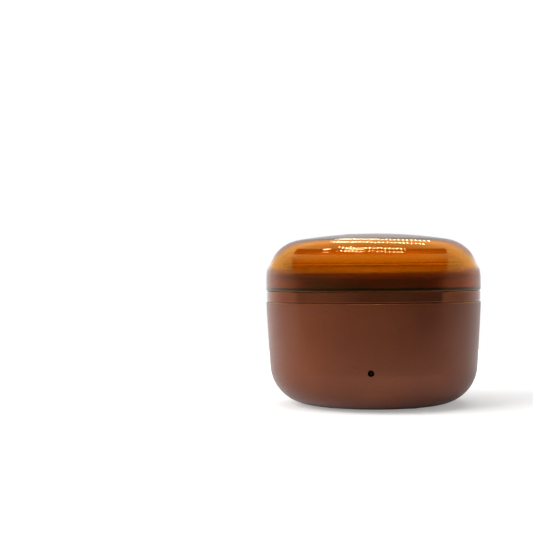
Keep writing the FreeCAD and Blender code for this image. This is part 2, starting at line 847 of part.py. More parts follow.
def power_button():
    front = button_back + button_length
    cap = rod_y(button_radius, switch_x, rear_height, button_back, front)
    rim = max(cap.Edges, key=lambda edge: edge.BoundBox.YMin)
    cap = cap.makeFillet(button_edge_radius, [rim])
    stem = rod_y(stem_radius, switch_x, rear_height, button_back - stem_length, button_back)
    return merged([cap, stem])


def button_spring():
    wire_end = spring_wire_radius + spring_end_gap
    rise = spring_length - 2 * wire_end
    helix = Part.makeHelix(rise / spring_turns, rise, spring_radius)
    start = Vector(spring_radius, 0, 0)
    corners = []
    for k in range(spring_wire_flats):
        angle = math.radians((k + 1 / 2) * FULL_TURN_DEG / spring_wire_flats)
        corners.append(start + Vector(math.cos(angle), 0, math.sin(angle)) * spring_wire_radius)
    section = Part.makePolygon(corners + corners[:1])
    coil = Part.Wire(helix).makePipeShell([section], True, True)
    coil.rotate(ORIGIN, SIDE, -90)
    coil.translate(Vector(switch_x, chamber_end + wire_end, rear_height))
    return coil


def switch_body():
    barrel_end = rear_face - switch_barrel_length
    bezel = rod_y(switch_bezel_radius, switch_x, rear_height, rear_face, rear_face + switch_bezel)
    barrel = rod_y(switch_barrel_radius, switch_x, rear_height, barrel_end, rear_face)
    rear = rod_y(switch_body_radius, switch_x, rear_height, switch_rear, barrel_end)
    body = merged([bezel, barrel, rear])
    bore = rod_y(button_radius + button_clearance, switch_x, rear_height, chamber_end,
                 rear_face + switch_bezel + cut_over)
    stem_end = button_back - stem_length - button_travel - stem_end_gap
    guide = rod_y(stem_radius + stem_clearance, switch_x, rear_height, stem_end, chamber_end + cut_over)
    return body.cut(bore).cut(guide)


def switch_nut():
    nut = hexagon(switch_nut_flats, switch_nut_thickness)
    nut = nut.cut(disc(switch_barrel_radius + fit_gap, -cut_over, switch_nut_thickness + cut_over))
    nut.rotate(ORIGIN, SIDE, -90)
    nut.translate(Vector(switch_x, rear_inside - switch_nut_thickness, rear_height))
    return nut


def switch_tab_places():
    return [switch_x + side * switch_tab_spacing / 2 for side in (-1, 1)]


def switch_tabs():
    tabs = []
    for x in switch_tab_places():
        tabs.append(block(Vector(x - switch_tab_thickness / 2, switch_rear - switch_tab_length,
                                 rear_height - switch_tab_width / 2),
                          Vector(x + switch_tab_thickness / 2, switch_rear,
                                 rear_height + switch_tab_width / 2)))
    return group(tabs)


def wire(points):
    """A round wire through the points, with each corner turned on an arc."""
    edges = []
    here = points[0]
    for before, corner, after in zip(points, points[1:], points[2:]):
        back = before - corner
        ahead = after - corner
        reach = wire_bend_share * min(back.Length, ahead.Length)
        back.normalize()
        ahead.normalize()
        half_turn = (math.pi - back.getAngle(ahead)) / 2
        bend = reach / math.tan(half_turn)
        middle = back + ahead
        middle.normalize()
        centre = corner + middle * (bend / math.cos(half_turn))
        start = corner + back * reach
        edges.append(Part.LineSegment(here, start).toShape())
        here = corner + ahead * reach
        edges.append(Part.Arc(start, centre - middle * bend, here).toShape())
    edges.append(Part.LineSegment(here, points[-1]).toShape())
    section = Part.Wire(Part.makeCircle(wire_radius, points[0], points[1] - points[0]))
    return Part.Wire(edges).makePipeShell([section], True, False)


def lead_place(angle_deg, height):
    radius = (heater_bore + heater_radius) / 2
    angle = math.radians(angle_deg)
    return Vector(radius * math.cos(angle), radius * math.sin(angle), height)


def wiring():
    low = cavity_floor + wire_floor_gap
    tail = inlet_rear - pin_tail
    neutral_x, live_x = pin_places()
    switch_in, switch_out = switch_tab_places()
    tab_end = switch_rear - switch_tab_length
    tab_x = thermostat_tab_spacing / 2 + thermostat_tab_thickness / 2
    tab_height = thermostat_under - tab_joint_share * thermostat_tab_length
    bracket_end = bracket_hole_spacing / 2
    fuse_end = fuse_length / 2
    fuse_turn = fuse_end + wire_loop
    loop_y = min(tail, tab_end) - wire_loop
    feed = lead_place(feed_lead_deg, heater_bottom)
    back = lead_place(return_lead_deg, heater_bottom)
    pad_x = led_lead_spacing
    pad_height = board_screw_height

    live = [Vector(live_x, tail, rear_height), Vector(live_x, loop_y, rear_height),
            Vector(switch_in, loop_y, rear_height), Vector(switch_in, tab_end, rear_height)]
    switched = [Vector(switch_out, tab_end, rear_height), Vector(switch_out, loop_y, rear_height),
                Vector(bracket_end, 0, tab_height), Vector(tab_x, 0, tab_height)]
    heater_feed = [Vector(-tab_x, 0, tab_height), Vector(-bracket_end, 0, tab_height),
                   Vector(feed.x, feed.y, low + wire_loop), feed]
    heater_return = [back, Vector(back.x, back.y, low + wire_loop),
                     Vector(-fuse_turn, -fuse_offset, low + wire_loop),
                     Vector(-fuse_turn, -fuse_offset, fuse_height()),
                     Vector(-fuse_end, -fuse_offset, fuse_height())]
    neutral = [Vector(fuse_end, -fuse_offset, fuse_height()), Vector(fuse_turn, -fuse_offset, fuse_height()),
               Vector(fuse_turn, -fuse_offset, low), Vector(neutral_x, -bracket_end, low),
               Vector(neutral_x, loop_y - wire_loop, low), Vector(neutral_x, loop_y, rear_height),
               Vector(neutral_x, tail, rear_height)]
    indicator = []
    for side in (-1, 1):
        x = side * thermostat_tab_spacing / 2
        indicator.append([Vector(side * pad_x, board_back, pad_height),
                          Vector(side * pad_x, board_back + 2 * wire_loop, pad_height),
                          Vector(x, -bracket_end, tab_height),
                          Vector(x, -thermostat_tab_width / 2, tab_height)])
    return group([wire(route) for route in [live, switched, heater_feed, heater_return, neutral] + indicator])


PIECES = [lid, top_ring, base_housing, bottom_cover, rubber_feet, cover_screws, wax_pot, heating_well,
          well_gasket, well_screws, heater_band, band_clamp_screw, band_clamp_nut, insulation_sleeve,
          insulation_pad, thermostat_cap, thermostat_body, thermostat_tabs, thermostat_bracket,
          thermostat_screws, thermal_fuse, fuse_clip, fuse_clip_nut, led_board, indicator_led,
          led_board_screws, power_inlet, inlet_pins, power_button, button_spring, switch_body, switch_nut,
          switch_tabs, wiring]


def main():
    os.makedirs("parts", exist_ok=True)
    for piece in PIECES:
        piece().exportStep("parts/" + piece.__name__ + ".step")


main()
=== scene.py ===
# %% [markdown]
# # A small wax heater, dressed for the camera
# The heater is a stack of turned pieces: a satin brown body, a glossy ring, a lift-out pot and a
# clear amber lid. Their sizes are settled already, so the first step loads that model as a fixed
# frame. Everything made below goes where the frame says, so nothing is fitted by eye. Blender works
# in metres, and the sizes in this lesson are written in millimetres.

# %% Load the frame
import math

import bmesh
import bpy
from mathutils import Matrix, Vector


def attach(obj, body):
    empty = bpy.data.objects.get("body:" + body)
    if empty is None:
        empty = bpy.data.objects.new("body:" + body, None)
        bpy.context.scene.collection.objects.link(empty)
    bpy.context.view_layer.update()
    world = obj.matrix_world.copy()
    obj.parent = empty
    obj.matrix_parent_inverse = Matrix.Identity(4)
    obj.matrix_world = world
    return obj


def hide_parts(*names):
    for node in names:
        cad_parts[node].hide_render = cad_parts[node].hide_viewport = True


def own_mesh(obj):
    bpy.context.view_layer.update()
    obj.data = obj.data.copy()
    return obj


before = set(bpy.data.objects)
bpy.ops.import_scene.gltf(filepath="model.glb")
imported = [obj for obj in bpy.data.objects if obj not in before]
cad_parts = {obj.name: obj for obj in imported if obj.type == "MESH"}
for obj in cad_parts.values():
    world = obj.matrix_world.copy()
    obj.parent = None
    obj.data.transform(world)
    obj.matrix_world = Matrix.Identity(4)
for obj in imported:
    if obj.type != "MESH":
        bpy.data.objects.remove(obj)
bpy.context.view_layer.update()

MM = 0.001
scene = bpy.context.scene

# %% [markdown]
# ## Where the picture is taken from
# The picture is taken from a little below the lid's top, about 0.63 m away, with the heater right of
# the middle. A lens shift could put it there, but turning the camera gives the same framing and keeps
# working when the camera is moved to another side. The three axes of the camera are worked out from
# its turn, tilt and roll, and set as one matrix.

# %% Camera
CAMERA_DISTANCE = 632.5 * MM
CAMERA_HEIGHT = 72.3 * MM
CAMERA_ROUND = math.radians(1.15)
CAMERA_YAW = 0.0884
CAMERA_PITCH = 0.0003
CAMERA_ROLL = -0.0070
LENS_PX = 1196.2
IMAGE_PX = 533
SENSOR = 36

forward = Vector((-math.sin(CAMERA_YAW) * math.cos(CAMERA_PITCH),
                  math.cos(CAMERA_YAW) * math.cos(CAMERA_PITCH), math.sin(CAMERA_PITCH)))
right = forward.cross(Vector((0, 0, 1))).normalized()
up = right.cross(forward)
rolled_right = right * math.cos(CAMERA_ROLL) + up * math.sin(CAMERA_ROLL)
rolled_up = up * math.cos(CAMERA_ROLL) - right * math.sin(CAMERA_ROLL)
axes = Matrix((rolled_right, rolled_up, -forward)).transposed().to_4x4()

camera = bpy.data.objects.new("camera", bpy.data.cameras.new("camera"))
scene.collection.objects.link(camera)
camera.data.sensor_width = SENSOR
camera.data.lens = LENS_PX / IMAGE_PX * SENSOR
camera.data.clip_start = 0.01
camera.matrix_world = (Matrix.Rotation(CAMERA_ROUND, 4, "Z")
                       @ Matrix.Translation((0, -CAMERA_DISTANCE, CAMERA_HEIGHT)) @ axes)
scene.camera = camera
print("camera", [round(v / MM) for v in camera.matrix_world.translation],
      "lens", round(camera.data.lens, 1))

# %% [markdown]
# ## Nodes, written short
# Finishes, shapes and the room's light are all node trees here. Nodes can be placed and wired one by
# one in the editor. In a script that gets long, so two helpers take the names of inputs and
# properties, and wire a socket or set a number, whichever they are given.


# %% Wiring
def feed(tree, socket, value):
    """Wires a socket to another one, or sets it to a plain value."""
    if isinstance(value, bpy.types.NodeSocket):
        tree.links.new(value, socket)
    else:
        socket.default_value = value


def add(tree, kind, **settings):
    """One node. Each setting names an input or a property."""
    node = tree.nodes.new(kind)
    for name, value in settings.items():
        label = name.replace("_", " ").title()
        if label in node.inputs:
            feed(tree, node.inputs[label], value)
        else:
            setattr(node, name, value)
    return node


print("wiring ready")

# %% [markdown]
# ## Sums and soft steps
# Four small rules come up again and again: a sum of two values, a product of several, a soft step from
# one level to another, and a colour between two. Each is one node or a short row of nodes, and hands on
# its output, so that the rules can be written inside one another like a formula.


# %% Sums and steps
def sums(tree, operation, *values):
    """One Math node on sockets or numbers."""
    node = add(tree, "ShaderNodeMath", operation=operation)
    for socket, value in zip(node.inputs, values):
        feed(tree, socket, value)
    return node.outputs[0]


def product(tree, first, *others):
    for other in others:
        first = sums(tree, "MULTIPLY", first, other)
    return first


def ease(tree, value, low, high, start=0.0, end=1.0):
    """A soft step: start below low, end above high."""
    step = add(tree, "ShaderNodeMapRange", interpolation_type="SMOOTHSTEP", value=value,
               from_min=low, from_max=high, to_min=start, to_max=end)
    return step.outputs["Result"]


def mixed(tree, share, first, second):
    """A colour between two. The colour sockets of this node have no names of their own."""
    node = add(tree, "ShaderNodeMix", data_type="RGBA")
    for index, value in ((0, share), (6, first), (7, second)):
        feed(tree, node.inputs[index], value)
    return node.outputs[2]


print("sums and steps ready")

# %% [markdown]
# ## Patterns that stay on their piece
# Each finish is a node tree on Blender's Principled shader. Its patterns could be painted on an
# unwrapped mesh, but noises that are worked out from a place need no unwrapping and never blur. They
# read Object coordinates: the pieces sit unturned at the origin, so a pattern stays put when a piece
# is moved by its joint.


# %% Patterns
def bare_finish(name, **settings):
    """A material with only its Principled shader, and that shader's plain values."""
    finish = bpy.data.materials.new(name)
    finish.use_nodes = True
    shader = finish.node_tree.nodes["Principled BSDF"]
    for label, value in settings.items():
        shader.inputs[label.replace("_", " ")].default_value = value
    return finish, finish.node_tree, shader


def on_piece(tree):
    return add(tree, "ShaderNodeTexCoord").outputs["Object"]


def height_on_piece(tree):
    return add(tree, "ShaderNodeSeparateXYZ", vector=on_piece(tree)).outputs["Z"]


def grain(tree, scale, detail=3.0, stretch=(1, 1, 1)):
    """A noise on Object coordinates. Scale is in grains per metre."""
    place = add(tree, "ShaderNodeMapping", vector=on_piece(tree), scale=stretch)
    noise = add(tree, "ShaderNodeTexNoise", vector=place.outputs["Vector"], scale=scale, detail=detail)
    return noise.outputs["Fac"]


print("patterns ready")

# %% [markdown]
# ## Finishes: two tones, a gloss and a grain
# Real plastic and metal are never one even colour. So a finish mixes two near tones by a noise, lets a
# second noise change the gloss, and a third one raise a very low relief. What is the same all over a
# piece, such as how metallic it is, is set on the shader itself.

# %% Finish helpers
TONE_LOW, TONE_HIGH = 0.35, 0.65        # most of a noise lies between these
GLOSS_LOW, GLOSS_HIGH = 0.3, 0.7


def tones(tree, shader, pattern, dark, light):
    """The base colour runs between two tones along a pattern."""
    ramp = add(tree, "ShaderNodeValToRGB", fac=pattern)
    for stop, position, tone in zip(ramp.color_ramp.elements, (TONE_LOW, TONE_HIGH), (dark, light)):
        stop.position = position
        stop.color = (*tone, 1)
    feed(tree, shader.inputs["Base Color"], ramp.outputs["Color"])
    return ramp.outputs["Color"]


def gloss(tree, shader, pattern, smooth, rough):
    """The roughness runs between two values along a pattern."""
    spread = add(tree, "ShaderNodeMapRange", value=pattern, from_min=GLOSS_LOW, from_max=GLOSS_HIGH,
                 to_min=smooth, to_max=rough)
    feed(tree, shader.inputs["Roughness"], spread.outputs["Result"])


def relief(tree, shader, pattern, depth, strength=0.5):
    """A low bump, with its depth in millimetres."""
    bump = add(tree, "ShaderNodeBump", strength=strength, distance=depth * MM, height=pattern)
    feed(tree, shader.inputs["Normal"], bump.outputs["Normal"])


def plain_finish(name, dark, light, scale, smooth, rough, depth, stretch=(1, 1, 1), **settings):
    """Two tones, a gloss that wanders and a fine grain: enough for most small pieces."""
    finish, tree, shader = bare_finish(name, **settings)
    tones(tree, shader, grain(tree, scale, 4, stretch), dark, light)
    gloss(tree, shader, grain(tree, scale * 2.3, 2, stretch), smooth, rough)
    relief(tree, shader, grain(tree, scale * 5, 2, stretch), depth)
    return finish


print("finish helpers ready")

# %% [markdown]
# ## How a shape tree begins and ends
# Shapes that repeat a rule are made by Geometry Nodes. Each tree has named inputs for its sizes, so
# one tree serves many pieces. Each ends in the same two nodes: one turns copies into real faces, and
# one gives all the faces their finish.


# %% Shape trees
def new_tree(name, *inputs):
    """An empty tree with named inputs. The identifiers are what a modifier is set by."""
    tree = bpy.data.node_groups.new(name, "GeometryNodeTree")
    identifiers = {}
    for label, kind in inputs:
        socket = tree.interface.new_socket(label, in_out="INPUT", socket_type="NodeSocket" + kind)
        identifiers[label] = socket.identifier
    tree.interface.new_socket("Shape", in_out="OUTPUT", socket_type="NodeSocketGeometry")
    return tree, tree.nodes.new("NodeGroupInput").outputs, identifiers


def end_tree(tree, shape, finish):
    """Each tree ends in real faces that all have one finish."""
    real = add(tree, "GeometryNodeRealizeInstances", geometry=shape)
    dressed = add(tree, "GeometryNodeSetMaterial", geometry=real.outputs[0], material=finish)
    feed(tree, tree.nodes.new("NodeGroupOutput").inputs[0], dressed.outputs[0])


print("shape trees ready")

# %% [markdown]
# ## A lathe made of Geometry Nodes
# Most pieces of this heater are turned: one half-section, spun round an axis. The Spin tool could do
# it, but a node tree keeps the rule in sight. A flat grid gets one row for each point of the section.
# Each column becomes an angle, and each row reads its radius and height from the section's point. The
# seam and the poles are merged, so the shell is closed.

# %% The lathe
WELD = 0.001 * MM


def lathe_tree():
    tree, given, identifiers = new_tree("lathe", ("Section", "Geometry"), ("Steps", "Int"),
                                        ("Finish", "Material"))
    size = add(tree, "GeometryNodeAttributeDomainSize", geometry=given["Section"])
    rows = size.outputs["Point Count"]
    grid = add(tree, "GeometryNodeMeshGrid", size_x=1.0, size_y=1.0,
               vertices_x=sums(tree, "ADD", given["Steps"], 1), vertices_y=rows)
    place = add(tree, "GeometryNodeInputPosition").outputs[0]
    on_grid = add(tree, "ShaderNodeSeparateXYZ", vector=place)
    angle = sums(tree, "MULTIPLY_ADD", on_grid.outputs["X"], 2 * math.pi, math.pi)
    row = product(tree, sums(tree, "ADD", on_grid.outputs["Y"], 0.5), sums(tree, "SUBTRACT", rows, 1))
    point = add(tree, "GeometryNodeSampleIndex", data_type="FLOAT_VECTOR", geometry=given["Section"],
                index=sums(tree, "ROUND", row))
    feed(tree, next(s for s in point.inputs if s.name == "Value" and s.enabled), place)
    sampled = next(s for s in point.outputs if s.name == "Value" and s.enabled)
    section = add(tree, "ShaderNodeSeparateXYZ", vector=sampled)
    there = add(tree, "ShaderNodeCombineXYZ", z=section.outputs["Z"],
                x=product(tree, section.outputs["X"], sums(tree, "COSINE", angle)),
                y=product(tree, section.outputs["X"], sums(tree, "SINE", angle)))
    moved = add(tree, "GeometryNodeSetPosition", geometry=grid.outputs["Mesh"], position=there.outputs[0])
    welded = add(tree, "GeometryNodeMergeByDistance", geometry=moved.outputs[0], distance=WELD)
    smooth = add(tree, "GeometryNodeSetShadeSmooth", geometry=welded.outputs[0])
    end_tree(tree, smooth.outputs[0], given["Finish"])
    return tree, identifiers


LATHE = lathe_tree()
print("lathe tree:", len(LATHE[0].nodes), "nodes")

# %% [markdown]
# ## Drawing a half-section
# A section is drawn like a pencil line: straight runs and arcs, in millimetres, up the outside and
# down the inside, so that the faces look outwards. A straight run gets a row close to each end.
# Without these rows, smooth shading would bleed from a small rounding into the flat beside it.

# %% Sections
HOLD = 0.12          # millimetres from a corner to its holding row
LONGEST = 2.6        # longest run without a row
SAME_POINT = 0.002


class Section:
    """A half-section, point by point: radius and height in millimetres."""

    def __init__(self, radius, height):
        self.points = [(radius, height)]

    def line(self, radius, height):
        r, z = self.points[-1]
        length = math.hypot(radius - r, height - z)
        shares = [1.0]
        if length > 4 * HOLD:
            count = max(1, math.ceil(length / LONGEST))
            shares = [HOLD / length, *[k / count for k in range(1, count)], 1 - HOLD / length, 1.0]
        for share in shares:
            self.points.append((r + (radius - r) * share, z + (height - z) * share))
        return self

    def arc(self, radius, height, bend, start, end, count=12):
        for k in range(count + 1):
            angle = math.radians(start + (end - start) * k / count)
            point = (radius + bend * math.cos(angle), height + bend * math.sin(angle))
            if math.dist(point, self.points[-1]) > SAME_POINT:
                if k == 0:
                    self.line(*point)
                else:
                    self.points.append(point)
        return self

    def sweep(self, control, end, count=24):
        """A soft bend from here to the end, led by one control point."""
        r, z = self.points[-1]
        for k in range(1, count + 1):
            a, b, c = (1 - k / count) ** 2, 2 * k / count * (1 - k / count), (k / count) ** 2
            self.points.append((a * r + b * control[0] + c * end[0],
                                a * z + b * control[1] + c * end[1]))
        return self

    def close(self):
        return self.line(*self.points[0])


print("sections ready")

# %% [markdown]
# ## From a modifier to a plain mesh
# A modifier stays live and can be changed later, which is handy in the editor. Here each piece is
# finished in one go, so what its modifiers show becomes its own mesh. Loose edges and points are
# cleared away, and edges that bend more than 25 degrees stay crisp.

# %% Plain meshes
CREASE = math.radians(25)


def plain_mesh(piece):
    """What the modifiers show becomes the piece's own mesh, all in its one finish."""
    graph = bpy.context.evaluated_depsgraph_get()
    mesh = bpy.data.meshes.new_from_object(piece.evaluated_get(graph), depsgraph=graph)
    piece.modifiers.clear()
    piece.data = mesh
    shape = bmesh.new()
    shape.from_mesh(mesh)
    bmesh.ops.delete(shape, geom=[e for e in shape.edges if not e.link_faces], context="EDGES")
    bmesh.ops.delete(shape, geom=[v for v in shape.verts if not v.link_faces], context="VERTS")
    for face in shape.faces:
        face.material_index = 0
    shape.to_mesh(mesh)
    shape.free()
    finishes = [finish for finish in mesh.materials if finish]
    mesh.materials.clear()
    for finish in finishes[:1]:
        mesh.materials.append(finish)
    mesh.shade_smooth()
    mesh.set_sharp_from_angle(angle=CREASE)
    return piece


def new_piece(name, mesh):
    piece = bpy.data.objects.new(name, mesh)
    scene.collection.objects.link(piece)
    return piece


print("plain meshes ready")

# %% [markdown]
# ## Running a tree on a piece
# A modifier knows the inputs of its tree by identifiers, not by their names, so the helper below looks
# them up. The inputs are set before the tree runs for the first time. A turned piece starts as the
# bare points of its section.

# %% Turned pieces
TURN_STEPS = 256


def grown(piece, made_by, **values):
    """Runs a node tree on a piece, with the tree's inputs set by their identifiers."""
    tree, identifiers = made_by
    tool = piece.modifiers.new(tree.name, "NODES")
    tool.node_group = tree
    for label, value in values.items():
        tool[identifiers[label]] = value
    return plain_mesh(piece)


def turned(name, section, finish=None, steps=TURN_STEPS):
    """A closed piece on the Z axis, spun from its section by the lathe tree."""
    mesh = bpy.data.meshes.new(name)
    mesh.from_pydata([(r * MM, 0, z * MM) for r, z in section.points], [], [])
    return grown(new_piece(name, mesh), LATHE, Steps=steps, Finish=finish)


print("turned pieces have", TURN_STEPS, "steps")

# %% [markdown]
# ## Placing and cutting
# Every piece stays at the origin, and a shift or a turn goes into its mesh. Holes and hollows could be
# modelled face by face. A Boolean modifier is surer, because it leaves the rest of a turned shape as
# it is.


# %% Placing and cutting
def shift(x, y, z):
    return Matrix.Translation((x * MM, y * MM, z * MM))


def set_down(piece, matrix):
    """Puts a turn or a shift into the mesh, so that the object itself stays at the origin."""
    piece.data.transform(matrix)
    return piece


def along_y(piece, x, y, z):
    """Lays a piece turned on +Z along +Y, with its origin at a point in millimetres."""
    return set_down(piece, shift(x, y, z) @ Matrix.Rotation(-math.pi / 2, 4, "X"))


def cut(piece, *cutters, operation="DIFFERENCE"):
    for cutter in cutters:
        tool = piece.modifiers.new("cut", "BOOLEAN")
        tool.operation = operation
        tool.solver = "EXACT"
        tool.object = cutter
    plain_mesh(piece)
    for cutter in cutters:
        bpy.data.objects.remove(cutter)
    return piece


print("cutting ready")

# %% [markdown]
# ## Settling a piece
# At the end each piece is told which body it moves with and which piece of the frame it stands for.
# Its volume and its open edges are measured there too: a closed shell has
# none, and a volume below zero would mean that its faces look inwards.

# %% Settling
CM3 = 1e6


def settle(piece, body, slot, *nodes):
    """The piece rides on its body and stands for the frame's nodes. Its slot is not used."""
    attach(piece, body)
    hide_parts(*nodes)
    shape = bmesh.new()
    shape.from_mesh(piece.data)
    volume = shape.calc_volume(signed=True) * CM3
    loose = sum(not e.is_manifold for e in shape.edges)
    shape.free()
    print(piece.name, len(piece.data.polygons), "faces,", round(volume, 2), "cm3,", loose, "open edges")


print("settling ready")

# %% [markdown]
# ## Satin paint for the body
# The body is a moulded cup in satin brown paint with a fine metal flake. A plain brown would look like
# bare plastic, so the paint is half metallic under a thin, glossier coat. A fine noise is the flake, and
# a broad one is the slight clouding that sprayed paint has. The grazing edges turn pale by themselves.

# %% Satin paint
FLAKE_SHARE = 0.45

satin, tree, shader = bare_finish("housing_satin", Metallic=0.5, IOR=1.5, Specular_IOR_Level=0.3,
                                  Coat_Weight=0.25, Coat_Roughness=0.2)
clouds = product(tree, grain(tree, 34, 3), 1 - FLAKE_SHARE)
speckle = sums(tree, "MULTIPLY_ADD", grain(tree, 1500, 4), FLAKE_SHARE, clouds)
tones(tree, shader, speckle, (0.128, 0.031, 0.010), (0.172, 0.043, 0.013))
gloss(tree, shader, grain(tree, 900, 2), 0.31, 0.39)
relief(tree, shader, grain(tree, 2600, 2), 0.006, 0.35)
print("satin paint:", len(tree.nodes), "nodes")

# %% [markdown]
# ## The body's outside
# The cup tapers a little, turns under in a wide corner, and ends in a thin lip that leaves a fine line
# under the ring. The corner is an arc. The wall above it is not quite straight, so it is a soft bend
# that leaves the corner along the taper and comes up to the lip upright.

# %% Body outside
BODY_R, BODY_FLOOR, BODY_TOP = 56.0, 0.8, 53.4
BODY_LIP, LIP_INNER, LIP_ROUND = 54.0, 55.2, 0.5
CORNER_R, CORNER_Z, CORNER_BEND = 33.615, 21.3, 20.5
TAPER, TAPER_TOP = 3.8, 49.0            # degrees and height


def outer_body():
    form = Section(0, BODY_FLOOR).line(CORNER_R, BODY_FLOOR)
    form.arc(CORNER_R, CORNER_Z, CORNER_BEND, -90, -TAPER, 40)
    form.sweep((BODY_R, TAPER_TOP), (BODY_R, BODY_LIP - LIP_ROUND))
    form.arc(BODY_R - LIP_ROUND, BODY_LIP - LIP_ROUND, LIP_ROUND, 0, 90, 10).line(LIP_INNER, BODY_LIP)
    return form.line(LIP_INNER, BODY_TOP).line(0, BODY_TOP)


print("body outside:", len(outer_body().points), "points")

# %% [markdown]
# ## The body's hollow
# The body could be drawn as one closed line, outside and inside, but its pocket at the back breaks the
# round inside. So the hollow and the step for the cover are sections of their own, and become cutters.
# The groove near the top is where the ring snaps in.

# %% Body hollow
WALL = 2.4
INNER_FLOOR, INNER_TAPER_TOP = 5.0, 49.08
GROOVE_R, GROOVE_FOOT, GROOVE_TOP = 54.25, 49.25, 51.15
COVER_TOP, REBATE_R, FLOOR_HOLE_R = 3.2, 32.565, 26.015
OVER = 1.0                              # how far a cutter runs past what it cuts


def inner_body():
    inside = BODY_R - WALL
    bend = CORNER_BEND - WALL
    floor_turn = math.asin((INNER_FLOOR - CORNER_Z) / bend)
    form = Section(0, INNER_FLOOR).line(CORNER_R + bend * math.cos(floor_turn), INNER_FLOOR)
    form.arc(CORNER_R, CORNER_Z, bend, math.degrees(floor_turn), -TAPER, 20)
    form.line(inside, INNER_TAPER_TOP).line(inside, GROOVE_FOOT).line(GROOVE_R, GROOVE_FOOT)
    form.line(GROOVE_R, GROOVE_TOP).line(inside, GROOVE_TOP)
    return form.line(inside, BODY_TOP + OVER).line(0, BODY_TOP + OVER)


def underside():
    form = Section(0, -OVER).line(REBATE_R, -OVER).line(REBATE_R, COVER_TOP)
    form.line(FLOOR_HOLE_R, COVER_TOP).line(FLOOR_HOLE_R, INNER_FLOOR + OVER)
    return form.line(0, INNER_FLOOR + OVER)


print("body hollow:", len(inner_body().points), "points")

# %% [markdown]
# ## Rounded blocks
# The back of the body has shapes with rounded corners, which no lathe can turn. A cube with a Bevel
# modifier would round all its edges. A loft through rounded rectangles, which stand across Y, rounds
# only the four along its depth. With two equal rectangles it is a plain block and a good cutter.

# %% Rounded outlines
QUARTER_STEPS = 12
QUARTERS = ((1, 1, 0), (-1, 1, 90), (-1, -1, 180), (1, -1, 270))


def rounded_loop(shape, x, z, y, width, height, corner):
    """The corners of one rounded rectangle, in millimetres."""
    loop = []
    for side, end, start in QUARTERS:
        for k in range(QUARTER_STEPS + 1):
            angle = math.radians(start + 90 * k / QUARTER_STEPS)
            px = x + side * (width / 2 - corner) + corner * math.cos(angle)
            pz = z + end * (height / 2 - corner) + corner * math.sin(angle)
            loop.append(shape.verts.new((px * MM, y * MM, pz * MM)))
    return loop


print("a rounded outline has", len(QUARTERS) * (QUARTER_STEPS + 1), "points")

# %% [markdown]
# The loft joins each outline with the next one, closes both ends and turns all its faces outwards. A
# cutter needs no finish. A piece gets its finish and the same crisp edges as the turned ones.


# %% Lofts
def lofted(name, x, z, rings, finish=None):
    """A closed piece through rounded rectangles: depth, width, height and corner of each."""
    shape = bmesh.new()
    loops = [rounded_loop(shape, x, z, *ring) for ring in rings]
    count = len(loops[0])
    for near, far in zip(loops, loops[1:]):
        for k in range(count):
            shape.faces.new((near[k], far[k], far[(k + 1) % count], near[(k + 1) % count]))
    shape.faces.new(loops[0])
    shape.faces.new(loops[-1])
    bmesh.ops.recalc_face_normals(shape, faces=shape.faces)
    mesh = bpy.data.meshes.new(name)
    shape.to_mesh(mesh)
    shape.free()
    if finish:
        mesh.materials.append(finish)
        mesh.shade_smooth()
        mesh.set_sharp_from_angle(angle=CREASE)
    return new_piece(name, mesh)


def rounded_block(name, x, z, size, near, far):
    """A block of one width, height and corner, drawn out along Y."""
    return lofted(name, x, z, [(near, *size), (far, *size)])


print("rounded blocks ready")

# %% [markdown]
# The shell is the outside less the hollow, and the hollow first gives way to the walls of the pocket.
# The cutters have other step counts than the body. Equal counts would lay edges on edges, and a
# Boolean then leaves gaps.

# %% Body shell
HOLLOW_STEPS, UNDERSIDE_STEPS = 250, 122
REAR_Z = 13.5                           # middle of what is at the back
POCKET = (37.6, 13.2, 3.0)              # width, height and corner
POCKET_FACE = 44.5
PAST_WALL = 62.0                        # outside the body
pocket_walls = (POCKET[0] + 2 * WALL, POCKET[1] + 2 * WALL, POCKET[2] + WALL)

body = turned("satin_body", outer_body(), satin)
hollow = turned("hollow", inner_body(), steps=HOLLOW_STEPS)
cut(hollow, rounded_block("pocket_walls", 0, REAR_Z, pocket_walls, POCKET_FACE - WALL, PAST_WALL))
cut(body, hollow, turned("underside", underside(), steps=UNDERSIDE_STEPS))
print("shell cut:", len(body.data.polygons), "faces")

# %% [markdown]
# The front has one small bevelled hole for the indicator. The back has a pocket with the openings for
# the mains socket and the power button. All four are cut in one go, each with its own Boolean modifier.

# %% Body openings
SMALL_STEPS = 64
EYE_R, EYE_WIDE, EYE_Z = 1.55, 1.9, 20.4
EYE_FROM = 47.6                         # the cutter starts this far from the axis
BEVEL_FROM, BEVEL_TO, EYE_LENGTH = 6.3, 6.65, 9.0
SOCKET_X, SOCKET_HOLE = -7.6, (17.3, 9.7, 2.0)
BUTTON_X, BUTTON_HOLE_R = 11.4, 5.1
HOLE_FROM, SOCKET_HOLE_TO, BUTTON_HOLE_LENGTH = 38.0, 48.0, 12.0

